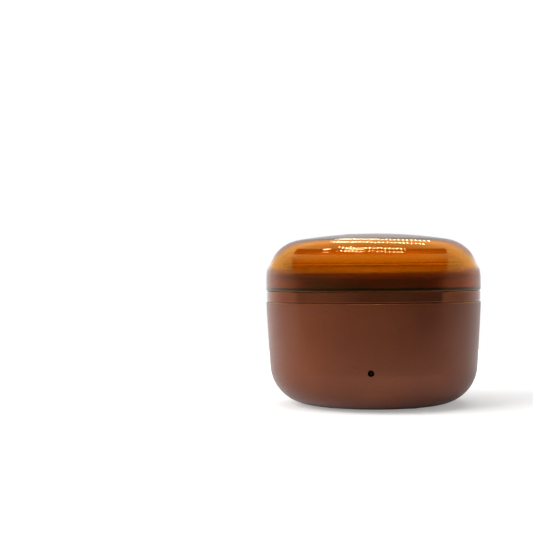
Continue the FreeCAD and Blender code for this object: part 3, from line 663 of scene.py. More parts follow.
form = Section(0, 0).line(EYE_R, 0).line(EYE_R, BEVEL_FROM).line(EYE_WIDE, BEVEL_TO)
form.line(EYE_WIDE, EYE_LENGTH).line(0, EYE_LENGTH)
eye = turned("eye", form, steps=SMALL_STEPS)
set_down(eye, shift(0, -EYE_FROM, EYE_Z) @ Matrix.Rotation(math.pi / 2, 4, "X"))
pocket = rounded_block("pocket", 0, REAR_Z, POCKET, POCKET_FACE, PAST_WALL)
socket_hole = rounded_block("socket_hole", SOCKET_X, REAR_Z, SOCKET_HOLE, HOLE_FROM, SOCKET_HOLE_TO)
form = Section(0, 0).line(BUTTON_HOLE_R, 0).line(BUTTON_HOLE_R, BUTTON_HOLE_LENGTH)
button_hole = turned("button_hole", form.line(0, BUTTON_HOLE_LENGTH), steps=SMALL_STEPS)
along_y(button_hole, BUTTON_X, HOLE_FROM, REAR_Z)
cut(body, eye, pocket, socket_hole, button_hole)
settle(body, "base", "housing_satin", "base_housing")

# %% [markdown]
# ## Polished plating for the ring
# Above the body sits a ring of the same brown, but polished. Polished plating mirrors the room in its
# own colour, so the finish is mostly metallic and nearly smooth, with faint wipe marks in the gloss.
# The rounded top of its collar, under the lid, is matt, and its colour there is darkened as painted
# shade, for the shade under the lid. Two materials could do that, but a step by the height of a point
# does it in one.

# %% Ring plating
MATT_AND_SHADE_FOOT, MATT_AND_SHADE_TOP = 64.8 * MM, 66.2 * MM
# The darker collar tone is painted shade: it stands in for the shade under the lid.
COLLAR_SHADE_TONE = (0.062, 0.020, 0.010, 1)
MATT_ROUGHER = 0.38

plating, tree, shader = bare_finish("ring_gloss", Metallic=0.85, IOR=1.5)
polish = tones(tree, shader, grain(tree, 60, 3), (0.190, 0.053, 0.020), (0.215, 0.060, 0.023))
matt_and_shaded = ease(tree, height_on_piece(tree), MATT_AND_SHADE_FOOT, MATT_AND_SHADE_TOP)
# Above the step the colour turns to the painted shade tone, and the roughness rises for the matt top.
feed(tree, shader.inputs["Base Color"], mixed(tree, matt_and_shaded, polish, COLLAR_SHADE_TONE))
wipe = ease(tree, grain(tree, 220, 4, (1, 1, 6)), GLOSS_LOW, GLOSS_HIGH, 0.07, 0.12)
feed(tree, shader.inputs["Roughness"], sums(tree, "MULTIPLY_ADD", matt_and_shaded, MATT_ROUGHER, wipe))
relief(tree, shader, grain(tree, 90, 2), 0.01, 0.15)
print("plating:", len(tree.nodes), "nodes")

# %% [markdown]
# ## The glossy ring
# The ring has a skirt that goes down into the body, a band that shows below the lid, and a collar that
# the lid fits over. It is one moulding, so it is one line on the lathe: up the outside, over the collar
# to the mouth of the well, and down the inside.

# %% Ring
SKIRT_R, SKIRT_INNER, SKIRT_FOOT, SKIRT_TOP = 53.4, 51.6, 48.4, 52.6
GAP_R = 55.0                            # the narrow part under the band
BAND_R, BAND_FOOT, BAND_TOP, BAND_ROUND = 55.8, 54.6, 59.6, 0.5
COLLAR_R, COLLAR_INNER, COLLAR_TOP, COLLAR_BEND = 53.0, 50.8, 68.9, 3.0
COLLAR_UNDER = 65.9                     # underside of the collar's top
MOUTH_R = 40.8
FINE = 0.3                              # small rounding

form = Section(SKIRT_INNER, SKIRT_FOOT).line(SKIRT_R, SKIRT_FOOT).line(SKIRT_R, BODY_TOP)
form.line(GAP_R, BODY_TOP).line(GAP_R, BAND_FOOT).line(BAND_R - FINE, BAND_FOOT)
form.arc(BAND_R - FINE, BAND_FOOT + FINE, FINE, -90, 0, 5)
form.arc(BAND_R - BAND_ROUND, BAND_TOP - BAND_ROUND, BAND_ROUND, 0, 90, 10)
form.line(COLLAR_R + FINE, BAND_TOP)
form.arc(COLLAR_R + FINE, BAND_TOP + FINE, FINE, -90, -180, 5)
form.arc(COLLAR_R - COLLAR_BEND, COLLAR_TOP - COLLAR_BEND, COLLAR_BEND, 0, 90, 20)
form.line(MOUTH_R + FINE, COLLAR_TOP).arc(MOUTH_R + FINE, COLLAR_TOP - FINE, FINE, 90, 180, 5)
form.line(MOUTH_R, COLLAR_UNDER).line(COLLAR_INNER, COLLAR_UNDER).line(COLLAR_INNER, BODY_TOP)
form.line(SKIRT_INNER, SKIRT_TOP).close()
ring = turned("gloss_ring", form, plating)
settle(ring, "base", "ring_gloss", "top_ring")

# %% [markdown]
# ## Spun aluminium
# The wax pot is spun aluminium: fine rings run round its wall, where the tool passed. They could be cut
# into the mesh, but they are far finer than its faces. So they are a Wave texture in rings about Z,
# which follows the turning, and a noise breaks them up. The wall is bright metal, the neck and the rim
# are blasted and look almost white, and a narrow band at the top edge is darker.

# %% Spun finishes
TOP_BAND_TONE = (0.20, 0.19, 0.18, 1)
TOP_BAND_WIDTH = 0.2
BLAST_FOOT, BLAST_TOP = 6.3, 4.8        # below the edge, where bright wall turns to blasted rim
BRIGHT, BLASTED = 0.9, 0.2              # how metallic they are


def spun(name, dark, light, smooth, rough, rings, edge):
    finish, tree, shader = bare_finish(name, Anisotropic=0.3)
    wave = add(tree, "ShaderNodeTexWave", wave_type="RINGS", rings_direction="Z", vector=on_piece(tree),
               scale=rings, distortion=1.5, detail=2.0, detail_scale=4)
    bare = tones(tree, shader, grain(tree, 70, 4), dark, light)
    height = height_on_piece(tree)
    top_band = ease(tree, height, (edge - TOP_BAND_WIDTH) * MM, edge * MM)
    feed(tree, shader.inputs["Base Color"], mixed(tree, top_band, bare, TOP_BAND_TONE))
    metal = ease(tree, height, (edge - BLAST_FOOT) * MM, (edge - BLAST_TOP) * MM, BRIGHT, BLASTED)
    feed(tree, shader.inputs["Metallic"], metal)
    gloss(tree, shader, wave.outputs["Fac"], smooth, rough)
    relief(tree, shader, wave.outputs["Fac"], 0.004, 0.4)
    return finish


pot_metal = spun("pot_aluminium", (0.74, 0.73, 0.71), (0.84, 0.83, 0.81), 0.30, 0.42,
                 rings=260, edge=73.3)
well_metal = spun("well_aluminium", (0.50, 0.50, 0.50), (0.60, 0.60, 0.59), 0.32, 0.46,
                  rings=180, edge=64.8)
print("spun finishes:", pot_metal.name, well_metal.name)

# %% [markdown]
# ## The pot
# The pot is a deep cup with a ledge, a short neck and a wide rim, by which it is lifted out. A cup with
# a Solidify modifier would have one wall all over. Here the inside differs from the outside, so both
# are drawn in one line: out along the bottom, up the outside, over the rim and down the inside.

# %% Pot
POT_R, POT_FOOT, POT_BEND = 40.0, 26.9, 5.0
POT_INNER, POT_FLOOR, POT_INNER_BEND = 39.0, 28.1, 4.0
LEDGE_FOOT, LEDGE_TOP = 68.9, 70.3
LEDGE_EDGE, LEDGE_HOLLOW = 0.6, 0.5
NECK_OUT, NECK_IN, NECK_HOLLOW = 45.4, 43.6, 0.4
RIM_R, RIM_FOOT, RIM_TOP = 47.3, 72.4, 74.0
RIM_EDGE, RIM_BEND = 0.6, 1.2

form = Section(0, POT_FOOT).line(POT_R - POT_BEND, POT_FOOT)
form.arc(POT_R - POT_BEND, POT_FOOT + POT_BEND, POT_BEND, -90, 0, 14).line(POT_R, LEDGE_FOOT - FINE)
form.arc(POT_R + FINE, LEDGE_FOOT - FINE, FINE, 180, 90, 5).line(NECK_OUT - FINE, LEDGE_FOOT)
form.arc(NECK_OUT - FINE, LEDGE_FOOT + FINE, FINE, -90, 0, 5).line(NECK_OUT, RIM_FOOT - NECK_HOLLOW)
form.arc(NECK_OUT + NECK_HOLLOW, RIM_FOOT - NECK_HOLLOW, NECK_HOLLOW, 180, 90, 6)
form.line(RIM_R - FINE, RIM_FOOT).arc(RIM_R - FINE, RIM_FOOT + FINE, FINE, -90, 0, 5)
form.arc(RIM_R - RIM_EDGE, RIM_TOP - RIM_EDGE, RIM_EDGE, 0, 90, 8).line(NECK_IN + RIM_BEND, RIM_TOP)
form.arc(NECK_IN + RIM_BEND, RIM_TOP - RIM_BEND, RIM_BEND, 90, 180, 10)
form.line(NECK_IN, LEDGE_TOP + LEDGE_HOLLOW)
form.arc(NECK_IN - LEDGE_HOLLOW, LEDGE_TOP + LEDGE_HOLLOW, LEDGE_HOLLOW, 0, -90, 6)
form.line(POT_INNER + LEDGE_EDGE, LEDGE_TOP)
form.arc(POT_INNER + LEDGE_EDGE, LEDGE_TOP - LEDGE_EDGE, LEDGE_EDGE, 90, 180, 6)
form.line(POT_INNER, POT_FLOOR + POT_INNER_BEND)
form.arc(POT_INNER - POT_INNER_BEND, POT_FLOOR + POT_INNER_BEND, POT_INNER_BEND, 0, -90, 14)
pot = turned("melting_pot", form.line(0, POT_FLOOR), pot_metal)
settle(pot, "pot", "pot_aluminium", "wax_pot")

# %% [markdown]
# ## The well
# The pot stands in a heated well, a plainer cup with a flange on which it hangs under the ring. It is
# drawn in the same way, and only its mouth shows when the pot is out.

# %% Well
WELL_R, WELL_FOOT, WELL_BEND = 42.0, 25.0, 4.0
WELL_INNER, WELL_FLOOR, WELL_INNER_BEND = 40.8, 26.5, 2.8
WELL_ROUND = 0.2
FLANGE_R, FLANGE_FOOT, FLANGE_TOP = 49.2, 63.9, 64.9

form = Section(0, WELL_FOOT).line(WELL_R - WELL_BEND, WELL_FOOT)
form.arc(WELL_R - WELL_BEND, WELL_FOOT + WELL_BEND, WELL_BEND, -90, 0, 12).line(WELL_R, FLANGE_FOOT)
form.line(FLANGE_R, FLANGE_FOOT).line(FLANGE_R, FLANGE_TOP).line(WELL_INNER + WELL_ROUND, FLANGE_TOP)
form.arc(WELL_INNER + WELL_ROUND, FLANGE_TOP - WELL_ROUND, WELL_ROUND, 90, 180, 4)
form.line(WELL_INNER, WELL_FLOOR + WELL_INNER_BEND)
form.arc(WELL_INNER - WELL_INNER_BEND, WELL_FLOOR + WELL_INNER_BEND, WELL_INNER_BEND, 0, -90, 12)
well = turned("warming_well", form.line(0, WELL_FLOOR), well_metal)
settle(well, "base", "well_aluminium", "heating_well")

# %% [markdown]
# ## Amber plastic
# The lid is clear amber plastic. Its colour is in the wall, so it is deeper where more wall lies in the
# way. A tinted surface would not do that, so the shader is clear and a Volume Absorption is the dye.
# The skirt below the dome is frosted, which is only a rougher surface, and its foot edge is painted dark:
# a painted shade for the seam over the ring. A soft, low waviness is what tells moulded plastic from
# glass.

# %% Amber finish
FROST_TOP = 71.0
FROST_STEP = 0.05
FROST = 0.21
SEAM_SHADE_FOOT, SEAM_SHADE_TOP = 61.0 * MM, 61.9 * MM
SEAM_SHADE_TONE = (0.04, 0.02, 0.01, 1)

amber, tree, shader = bare_finish("lid_amber", IOR=1.58, Transmission_Weight=1.0,
                                  Specular_Tint=(1.0, 0.62, 0.22, 1))
height = height_on_piece(tree)
clear = tones(tree, shader, grain(tree, 26, 2), (0.95, 0.90, 0.80), (1.0, 0.97, 0.92))
above_seam_shade = ease(tree, height, SEAM_SHADE_FOOT, SEAM_SHADE_TOP)
# Below the step the lid's colour turns dark: painted shade for the seam between the lid and the ring.
feed(tree, shader.inputs["Base Color"], mixed(tree, above_seam_shade, SEAM_SHADE_TONE, clear))
frost = ease(tree, height, (FROST_TOP - FROST_STEP) * MM, (FROST_TOP + FROST_STEP) * MM, FROST, 0.0)
wear = product(tree, grain(tree, 500, 5, (1, 1, 4)), 0.012)
feed(tree, shader.inputs["Roughness"], sums(tree, "ADD", frost, wear))
relief(tree, shader, grain(tree, 45, 1), 0.01, 0.03)
dye = add(tree, "ShaderNodeVolumeAbsorption", density=1300.0, color=(0.93, 0.72, 0.0, 1))
feed(tree, tree.nodes["Material Output"].inputs["Volume"], dye.outputs[0])
print("amber:", len(tree.nodes), "nodes")

# %% [markdown]
# ## The lid
# The lid is an upright skirt, a round shoulder and a very flat dome. A single surface would bend the
# light only once and look like a solid lump. So it is a closed shell, 2.6 mm thick, with an inner and
# an outer wall that the light passes one after the other.

# %% Lid shell
LID_FOOT, LID_TOP, LID_WALL = 59.6, 89.4, 2.6
SHOULDER_R, SHOULDER_Z, SHOULDER_BEND = 35.4, 66.0, 20.6
DOME = 245.78
FOOT_BEND = 0.9
dome_centre = LID_TOP - DOME
dome_turn = math.degrees(math.atan2(SHOULDER_Z - dome_centre, SHOULDER_R))
inside = BODY_R - LID_WALL

form = Section(0, LID_TOP - LID_WALL).arc(0, dome_centre, DOME - LID_WALL, 90, dome_turn, 16)
form.arc(SHOULDER_R, SHOULDER_Z, SHOULDER_BEND - LID_WALL, dome_turn, 0, 40)
form.line(inside, LID_FOOT + FINE).arc(inside + FINE, LID_FOOT + FINE, FINE, 180, 270, 5)
form.line(BODY_R - FOOT_BEND, LID_FOOT)
form.arc(BODY_R - FOOT_BEND, LID_FOOT + FOOT_BEND, FOOT_BEND, -90, 0, 10).line(BODY_R, SHOULDER_Z)
form.arc(SHOULDER_R, SHOULDER_Z, SHOULDER_BEND, 0, dome_turn, 44)
form.arc(0, dome_centre, DOME, dome_turn, 90, 16)
lid = turned("amber_lid", form, amber)
print("lid shell:", len(lid.data.polygons), "faces")

# %% [markdown]
# Three small vents with hollowed edges go through the top, in a row. The lid is loose, and it lies
# turned a little, so the row is turned with it. Each vent is a turned cutter that stands on the dome.

# %% Lid vents
VENT_STEPS = 48
VENT_R, VENT_DISH = 1.7, 0.4
VENT_DEPTH, VENT_CLEAR_R, VENT_CLEAR = 8.0, 4.0, 3.0
VENT_SPACING, VENT_ROW = 17.1, -7.6
LID_TURN = Matrix.Rotation(math.radians(22), 4, "Z")

for k in (-1, 0, 1):
    x, y = VENT_SPACING * k, VENT_ROW
    face = dome_centre + math.sqrt(DOME ** 2 - x * x - y * y)
    form = Section(0, -VENT_DEPTH).line(VENT_R, -VENT_DEPTH).line(VENT_R, -VENT_DISH)
    form.arc(VENT_R + VENT_DISH, -VENT_DISH, VENT_DISH, 180, 90, 6).line(VENT_CLEAR_R, 0)
    form.line(VENT_CLEAR_R, VENT_CLEAR).line(0, VENT_CLEAR)
    vent = set_down(turned("vent", form, steps=VENT_STEPS), LID_TURN @ shift(x, y, face))
    cut(lid, vent)
settle(lid, "lid", "lid_amber", "lid")

# %% [markdown]
# ## Copies round the axis
# Below are a cover with a ring of cooling slots and four rubber feet. They repeat round the axis. An
# Array modifier would need a helper object for its turn, so one slot and one foot are made, and a
# second node tree copies them: a line of points without length, each with its own turn about Z.


# %% Copies round the axis
def copies_tree():
    tree, given, identifiers = new_tree("round_the_axis", ("One", "Geometry"), ("Count", "Int"),
                                        ("Start", "Float"), ("Finish", "Material"))
    line = add(tree, "GeometryNodeMeshLine", count=given["Count"], offset=(0, 0, 0))
    index = add(tree, "GeometryNodeInputIndex").outputs[0]
    share = sums(tree, "DIVIDE", index, given["Count"])
    angle = sums(tree, "MULTIPLY_ADD", share, 2 * math.pi, given["Start"])
    turn = add(tree, "ShaderNodeCombineXYZ", z=angle)
    copies = add(tree, "GeometryNodeInstanceOnPoints", points=line.outputs["Mesh"],
                 instance=given["One"], rotation=turn.outputs[0])
    end_tree(tree, copies.outputs[0], given["Finish"])
    return tree, identifiers


COPIES = copies_tree()


def round_the_axis(piece, count, start, finish=None):
    return grown(piece, COPIES, Count=count, Start=math.radians(start), Finish=finish)


print("copies tree:", len(COPIES[0].nodes), "nodes")

# %% [markdown]
# ## The cover
# A matte plate closes the body from below. Its slots let warm air out, and four shallow recesses take
# the feet. The plate is turned, and the slots and the recesses are copied round the axis before they
# are cut, so two Boolean modifiers do for all twelve.

# %% Cover
COVER_R, COVER_STEPS = 32.415, 160
SLOT = (2.0, 8.0, 0.95)                 # width, length and corner
SLOT_FROM, SLOT_TO = -5.0, 1.0
SLOT_COUNT, SLOT_CIRCLE = 8, 12.0
FOOT_COUNT, FOOT_START, FOOT_CIRCLE = 4, 45, 26.415
RECESS_R, RECESS_TOP = 4.95, 1.6

matte = plain_finish("cover_matte", (0.030, 0.020, 0.016), (0.042, 0.029, 0.023), 140, 0.50, 0.62, 0.02)
form = Section(0, BODY_FLOOR).line(COVER_R - FINE, BODY_FLOOR)
form.arc(COVER_R - FINE, BODY_FLOOR + FINE, FINE, -90, 0, 5)
form.line(COVER_R, COVER_TOP).line(0, COVER_TOP)
cover = turned("vented_cover", form, matte, steps=COVER_STEPS)
slot = rounded_block("slot", 0, SLOT_CIRCLE, SLOT, SLOT_FROM, SLOT_TO)
set_down(slot, Matrix.Rotation(-math.pi / 2, 4, "X"))
form = Section(0, -OVER).line(RECESS_R, -OVER).line(RECESS_R, RECESS_TOP).line(0, RECESS_TOP)
recess = set_down(turned("recess", form, steps=SMALL_STEPS), shift(FOOT_CIRCLE, 0, 0))
cut(cover, round_the_axis(slot, SLOT_COUNT, 0), round_the_axis(recess, FOOT_COUNT, FOOT_START))
settle(cover, "base", "cover_matte", "bottom_cover")

# %% [markdown]
# ## The feet
# Four rubber feet carry the heater. Each is a low turned puck with a soft edge, a fine groove in its
# sole and a dimple on top, where its screw head sits. Rubber hardly shines, so its finish is rough.

# %% Feet
FOOT_R, FOOT_EDGE, FOOT_TOP = 4.8, 0.5, 1.6
DIMPLE_R, DIMPLE_TOP = 2.5, 0.7
SOLE_R, SOLE_GROOVE_IN, SOLE_GROOVE_OUT, SOLE_GROOVE = 1.4, 1.7, 1.9, 0.25

rubber = plain_finish("foot_rubber", (0.016, 0.015, 0.014), (0.028, 0.026, 0.025), 320, 0.72, 0.86, 0.03)
form = Section(0, 0).line(SOLE_R, 0).arc(SOLE_GROOVE_IN, 0, SOLE_GROOVE, 180, 90, 4)
form.arc(SOLE_GROOVE_OUT, 0, SOLE_GROOVE, 90, 0, 4)
form.line(FOOT_R - FOOT_EDGE, 0).arc(FOOT_R - FOOT_EDGE, FOOT_EDGE, FOOT_EDGE, -90, 0, 6)
form.line(FOOT_R, FOOT_TOP).line(DIMPLE_R, FOOT_TOP).line(DIMPLE_R, DIMPLE_TOP).line(0, DIMPLE_TOP)
foot = set_down(turned("rubber_foot_set", form, steps=SMALL_STEPS), shift(FOOT_CIRCLE, 0, 0))
settle(round_the_axis(foot, FOOT_COUNT, FOOT_START, rubber), "base", "foot_rubber", "rubber_feet")

# %% [markdown]
# ## The mains socket
# The mains socket in the back is a black moulding with rounded corners. Its outline changes along its
# depth, so it is lofted: one rounded rectangle for each depth, from the tail, over the rim with its two
# soft edges, and down into the cavity.

# %% Socket
TAIL = (17.0, 9.4, 2.0)                 # width, height and corner
FLANGE = (20.0, 10.8, 2.0)
CAVITY = (14.2, 8.0, 3.95)
TAIL_END, FLANGE_BACK, FLANGE_EDGE = 28.5, 44.5, 45.6
CAVITY_EDGE, CAVITY_MIDDLE, CAVITY_FLOOR = 45.7, 40.0, 34.6
OUTER_BEND, INNER_BEND = 0.5, 0.4
BEND_STEPS = 5


def inset(size, by):
    return size[0] - 2 * by, size[1] - 2 * by, size[2] - by


socket_black = plain_finish("inlet_black", (0.014, 0.014, 0.014), (0.024, 0.023, 0.022),
                            260, 0.36, 0.48, 0.015)
rings = [(TAIL_END, *TAIL), (FLANGE_BACK, *TAIL), (FLANGE_BACK, *FLANGE), (FLANGE_EDGE, *FLANGE)]
for k in range(1, BEND_STEPS + 1):
    turn = math.radians(90 * k / BEND_STEPS)
    by = OUTER_BEND * (1 - math.cos(turn))
    rings.append((FLANGE_EDGE + OUTER_BEND * math.sin(turn), *inset(FLANGE, by)))
for k in range(BEND_STEPS + 1):
    turn = math.radians(90 * k / BEND_STEPS)
    by = INNER_BEND * (1 - math.sin(turn))
    rings.append((CAVITY_EDGE + INNER_BEND * math.cos(turn), *inset(CAVITY, -by)))
rings += [(CAVITY_MIDDLE, *CAVITY), (CAVITY_FLOOR, *CAVITY)]
socket = lofted("mains_socket", SOCKET_X, REAR_Z, rings, socket_black)
settle(socket, "base", "inlet_black", "power_inlet")

# %% [markdown]
# ## The pins
# Two brass pins stand in the socket. They are turned on the lathe with round tips, laid along Y and
# joined, because they are one piece in the frame.

# %% Pins
PIN_STEPS = 40
PIN_R, PIN_TIP, PIN_LENGTH = 1.2, 0.6, 20.1
PIN_FROM, PIN_OFFSET = 23.5, 4.3

brass = plain_finish("brass", (0.62, 0.44, 0.20), (0.74, 0.55, 0.28), 300, 0.22, 0.34, 0.004, Metallic=1.0)
pins = None
for side in (-1, 1):
    form = Section(0, 0).line(PIN_R, 0).line(PIN_R, PIN_LENGTH - PIN_TIP)
    form.arc(PIN_R - PIN_TIP, PIN_LENGTH - PIN_TIP, PIN_TIP, 0, 90, 8).line(0, PIN_LENGTH)
    pin = turned("socket_pins", form, brass, PIN_STEPS)
    along_y(pin, SOCKET_X + side * PIN_OFFSET, PIN_FROM, REAR_Z)
    pins = pin if pins is None else cut(pins, pin, operation="UNION")
settle(pins, "base", "brass", "inlet_pins")

# %% [markdown]
# ## The power button
# The button is a short cap on a stem, with a shallow dish for the fingertip. The dish is the end of the
# same section: an arc whose centre lies outside, on the axis. A bump could fake it, but a dish this
# deep shows in its outline when the button is seen from the side.

# %% Button
BUTTON_STEPS = 96
STEM_R, STEM_LENGTH = 1.4, 8.0
BUTTON_R, BUTTON_LENGTH, BUTTON_EDGE, BUTTON_FROM = 3.8, 12.4, 0.6, 35.3
DISH_EDGE, DISH_CENTRE, DISH_BEND, DISH_TURN = 2.9, 18.5, 6.75, -64.5

button_dark = plain_finish("button_dark", (0.040, 0.026, 0.020), (0.056, 0.037, 0.029),
                           200, 0.34, 0.42, 0.008)
form = Section(0, 0).line(STEM_R, 0).line(STEM_R, STEM_LENGTH).line(BUTTON_R, STEM_LENGTH)
form.line(BUTTON_R, BUTTON_LENGTH - BUTTON_EDGE)
form.arc(BUTTON_R - BUTTON_EDGE, BUTTON_LENGTH - BUTTON_EDGE, BUTTON_EDGE, 0, 90, 8)
form.line(DISH_EDGE, BUTTON_LENGTH).arc(0, DISH_CENTRE, DISH_BEND, DISH_TURN, -90, 10)
button = along_y(turned("push_button", form, button_dark, BUTTON_STEPS), BUTTON_X, BUTTON_FROM, REAR_Z)
settle(button, "button", "button_dark", "power_button")

# %% [markdown]
# ## The button's collar
# The button slides in a black collar: a stepped bore, a soft front lip that shows in the pocket, and a
# wider switch behind. It is drawn from the bore outwards, which is the wrong way round for the lathe, so
# its points are reversed at the end.

# %% Collar
STEM_BORE, BUTTON_BORE, BORE_STEP = 1.5, 3.88, 6.6
FRONT, BORE_EDGE = 19.6, 0.25
LIP_R, LIP_EDGE, LIP_BACK = 6.2, 0.6, 18.0
SLEEVE_R, SWITCH_R, SWITCH_LENGTH, SWITCH_FROM = 5.0, 5.8, 10.0, 26.5

collar_black = plain_finish("switch_black", (0.018, 0.017, 0.016), (0.030, 0.028, 0.027),
                            240, 0.26, 0.36, 0.01)
form = Section(STEM_BORE, 0).line(STEM_BORE, BORE_STEP).line(BUTTON_BORE, BORE_STEP)
form.line(BUTTON_BORE, FRONT - BORE_EDGE)
form.arc(BUTTON_BORE + BORE_EDGE, FRONT - BORE_EDGE, BORE_EDGE, 180, 90, 5).line(LIP_R - LIP_EDGE, FRONT)
form.arc(LIP_R - LIP_EDGE, FRONT - LIP_EDGE, LIP_EDGE, 90, 0, 8).line(LIP_R, LIP_BACK)
form.line(SLEEVE_R, LIP_BACK).line(SLEEVE_R, SWITCH_LENGTH).line(SWITCH_R, SWITCH_LENGTH)
form.line(SWITCH_R, 0).close()
form.points.reverse()
collar = along_y(turned("button_collar", form, collar_black, BUTTON_STEPS), BUTTON_X, SWITCH_FROM, REAR_Z)
settle(collar, "base", "switch_black", "switch_body")

# %% [markdown]
# ## The pieces nobody sees
# The heater band, its felt, the thermostat, the fuse, the little board and the wires are closed in. One
# grey would do for the picture. Each one still gets two tones, its own gloss and its own grain, because
# a model that is taken apart shows them. Felt and rolled steel have a grain that is drawn out one way.

# %% Finishes for the inner pieces
steel = plain_finish("steel", (0.42, 0.42, 0.43), (0.56, 0.56, 0.56), 380, 0.24, 0.38, 0.006, Metallic=1.0)
silicone = plain_finish("silicone", (0.52, 0.20, 0.15), (0.60, 0.25, 0.19), 160, 0.5, 0.62, 0.02)
band_steel = plain_finish("heater_steel", (0.36, 0.35, 0.33), (0.48, 0.46, 0.43), 120, 0.28, 0.44, 0.01,
                          (1, 1, 9), Metallic=1.0)
felt = plain_finish("glass_felt", (0.66, 0.65, 0.60), (0.82, 0.81, 0.77), 900, 0.86, 0.97, 0.12, (1, 1, 3))
bakelite = plain_finish("bakelite", (0.020, 0.014, 0.011), (0.036, 0.026, 0.020), 180, 0.3, 0.42, 0.01)
fuse_case = plain_finish("fuse_case", (0.60, 0.58, 0.54), (0.70, 0.68, 0.64), 260, 0.3, 0.4, 0.006)
board = plain_finish("board_green", (0.012, 0.085, 0.035), (0.020, 0.125, 0.052), 700, 0.34, 0.5, 0.01,
                     (1, 4, 1))
wires = plain_finish("wire_white", (0.62, 0.61, 0.58), (0.74, 0.73, 0.70), 240, 0.42, 0.54, 0.01)
lens, tree, shader = bare_finish("led_lens", IOR=1.52, Transmission_Weight=0.35, Specular_IOR_Level=0.2)
tones(tree, shader, grain(tree, 1500, 2), (0.008, 0.007, 0.006), (0.014, 0.012, 0.011))
gloss(tree, shader, grain(tree, 2400, 2), 0.28, 0.40)
print("inner finishes:", steel.name, silicone.name, band_steel.name, felt.name, bakelite.name,
      fuse_case.name, board.name, wires.name, lens.name)

# %% [markdown]
# The shapes of these pieces in the frame are right as they are: straight sheet, screws and short wires.
# Making them anew would only copy them, so they keep their meshes and get their finishes.

# %% Dress the inner pieces
DRESSED = {"cover_screws": steel, "well_gasket": silicone, "well_screws": steel, "heater_band": band_steel,
           "band_clamp_screw": steel, "band_clamp_nut": steel, "insulation_sleeve": felt,
           "insulation_pad": felt, "thermostat_cap": band_steel, "thermostat_body": bakelite,
           "thermostat_tabs": brass, "thermostat_bracket": steel, "thermostat_screws": steel,
           "thermal_fuse": fuse_case, "fuse_clip": steel, "fuse_clip_nut": steel, "led_board": board,
           "indicator_led": lens, "led_board_screws": steel, "switch_nut": steel, "switch_tabs": brass,
           "wiring": wires}
for node, finish in DRESSED.items():
    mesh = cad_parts[node].data
    mesh.materials.clear()
    mesh.materials.append(finish)
print("dressed", len(DRESSED), "inner pieces")

# %% [markdown]
# ## The return spring
# The spring behind the button is the one inner piece of the real heater that changes shape: it shortens
# as the button goes in, but here it is made at one length. A Screw modifier could wind it. A spring is a
# wire bent along a rule, so its node tree is a spiral curve with a round profile, and the number of turns
# stays an input.

# %% Spring tree
COIL_STEPS, WIRE_STEPS = 40, 14         # steps in one turn, and round the wire


def spring_tree():
    tree, given, identifiers = new_tree("coil_spring", ("Start", "Geometry"), ("Turns", "Float"),
                                        ("Radius", "Float"), ("Rise", "Float"), ("Wire", "Float"),
                                        ("Finish", "Material"))
    coil = add(tree, "GeometryNodeCurveSpiral", resolution=COIL_STEPS, rotations=given["Turns"],
               start_radius=given["Radius"], end_radius=given["Radius"], height=given["Rise"])
    section = add(tree, "GeometryNodeCurvePrimitiveCircle", resolution=WIRE_STEPS, radius=given["Wire"])
    wire = add(tree, "GeometryNodeCurveToMesh", curve=coil.outputs[0], profile_curve=section.outputs[0],
               fill_caps=True)
    end_tree(tree, wire.outputs[0], given["Finish"])
    return tree, identifiers


SPRING = spring_tree()
print("spring tree:", len(SPRING[0].nodes), "nodes")

# %% [markdown]
# The spring is laid along Y behind the button.

# %% Return spring
SPRING_FROM, SPRING_TO, PRESS = 38.35, 43.25, 1.5
SPRING_TURNS, SPRING_R, SPRING_WIRE = 4.0, 2.5, 0.35
spring_rise = SPRING_TO - SPRING_FROM - 2 * SPRING_WIRE

spring = new_piece("return_spring", bpy.data.meshes.new("return_spring"))
grown(spring, SPRING, Turns=SPRING_TURNS, Radius=SPRING_R * MM, Rise=spring_rise * MM,
      Wire=SPRING_WIRE * MM, Finish=steel)
along_y(spring, BUTTON_X, SPRING_FROM + SPRING_WIRE, REAR_Z)
settle(spring, "base", "steel", "button_spring")
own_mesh(spring)

# %% [markdown]
# ## The floor
# The heater stands on a plain white floor, which catches its shadow. A curved backdrop could rise behind
# it, but the room is white anyway, so one flat disc is enough.

# %% Floor disc
FLOOR_R, FLOOR_STEPS = 0.42, 128        # metres

floor_mesh = bpy.data.meshes.new("floor")
disc = bmesh.new()
bmesh.ops.create_circle(disc, cap_ends=True, segments=FLOOR_STEPS, radius=FLOOR_R)
disc.to_mesh(floor_mesh)
disc.free()
floor = new_piece("floor", floor_mesh)
print("floor disc:", FLOOR_R, "m")

# %% [markdown]
# A floor in plain light renders light grey. So it gets a little glow of its own, and only for the camera
# and through the lid: it fades into the white room, but keeps the shadow and throws no light. In what
# the heater mirrors, the part before it is dimmer, because the room is dim on that side.

# %% Floor paper
# Each step is: from, to, level before and level after.
DIM_AWAY = (0.07, 0.30, 0.0, 1.0)
DIM_BEFORE = (-0.16, 0.0, 1.0, 0.0)
GLOW_AWAY = (0.08, 0.30, 0.30, 0.45)
DIM_TONE = (0.12, 0.12, 0.12, 1)

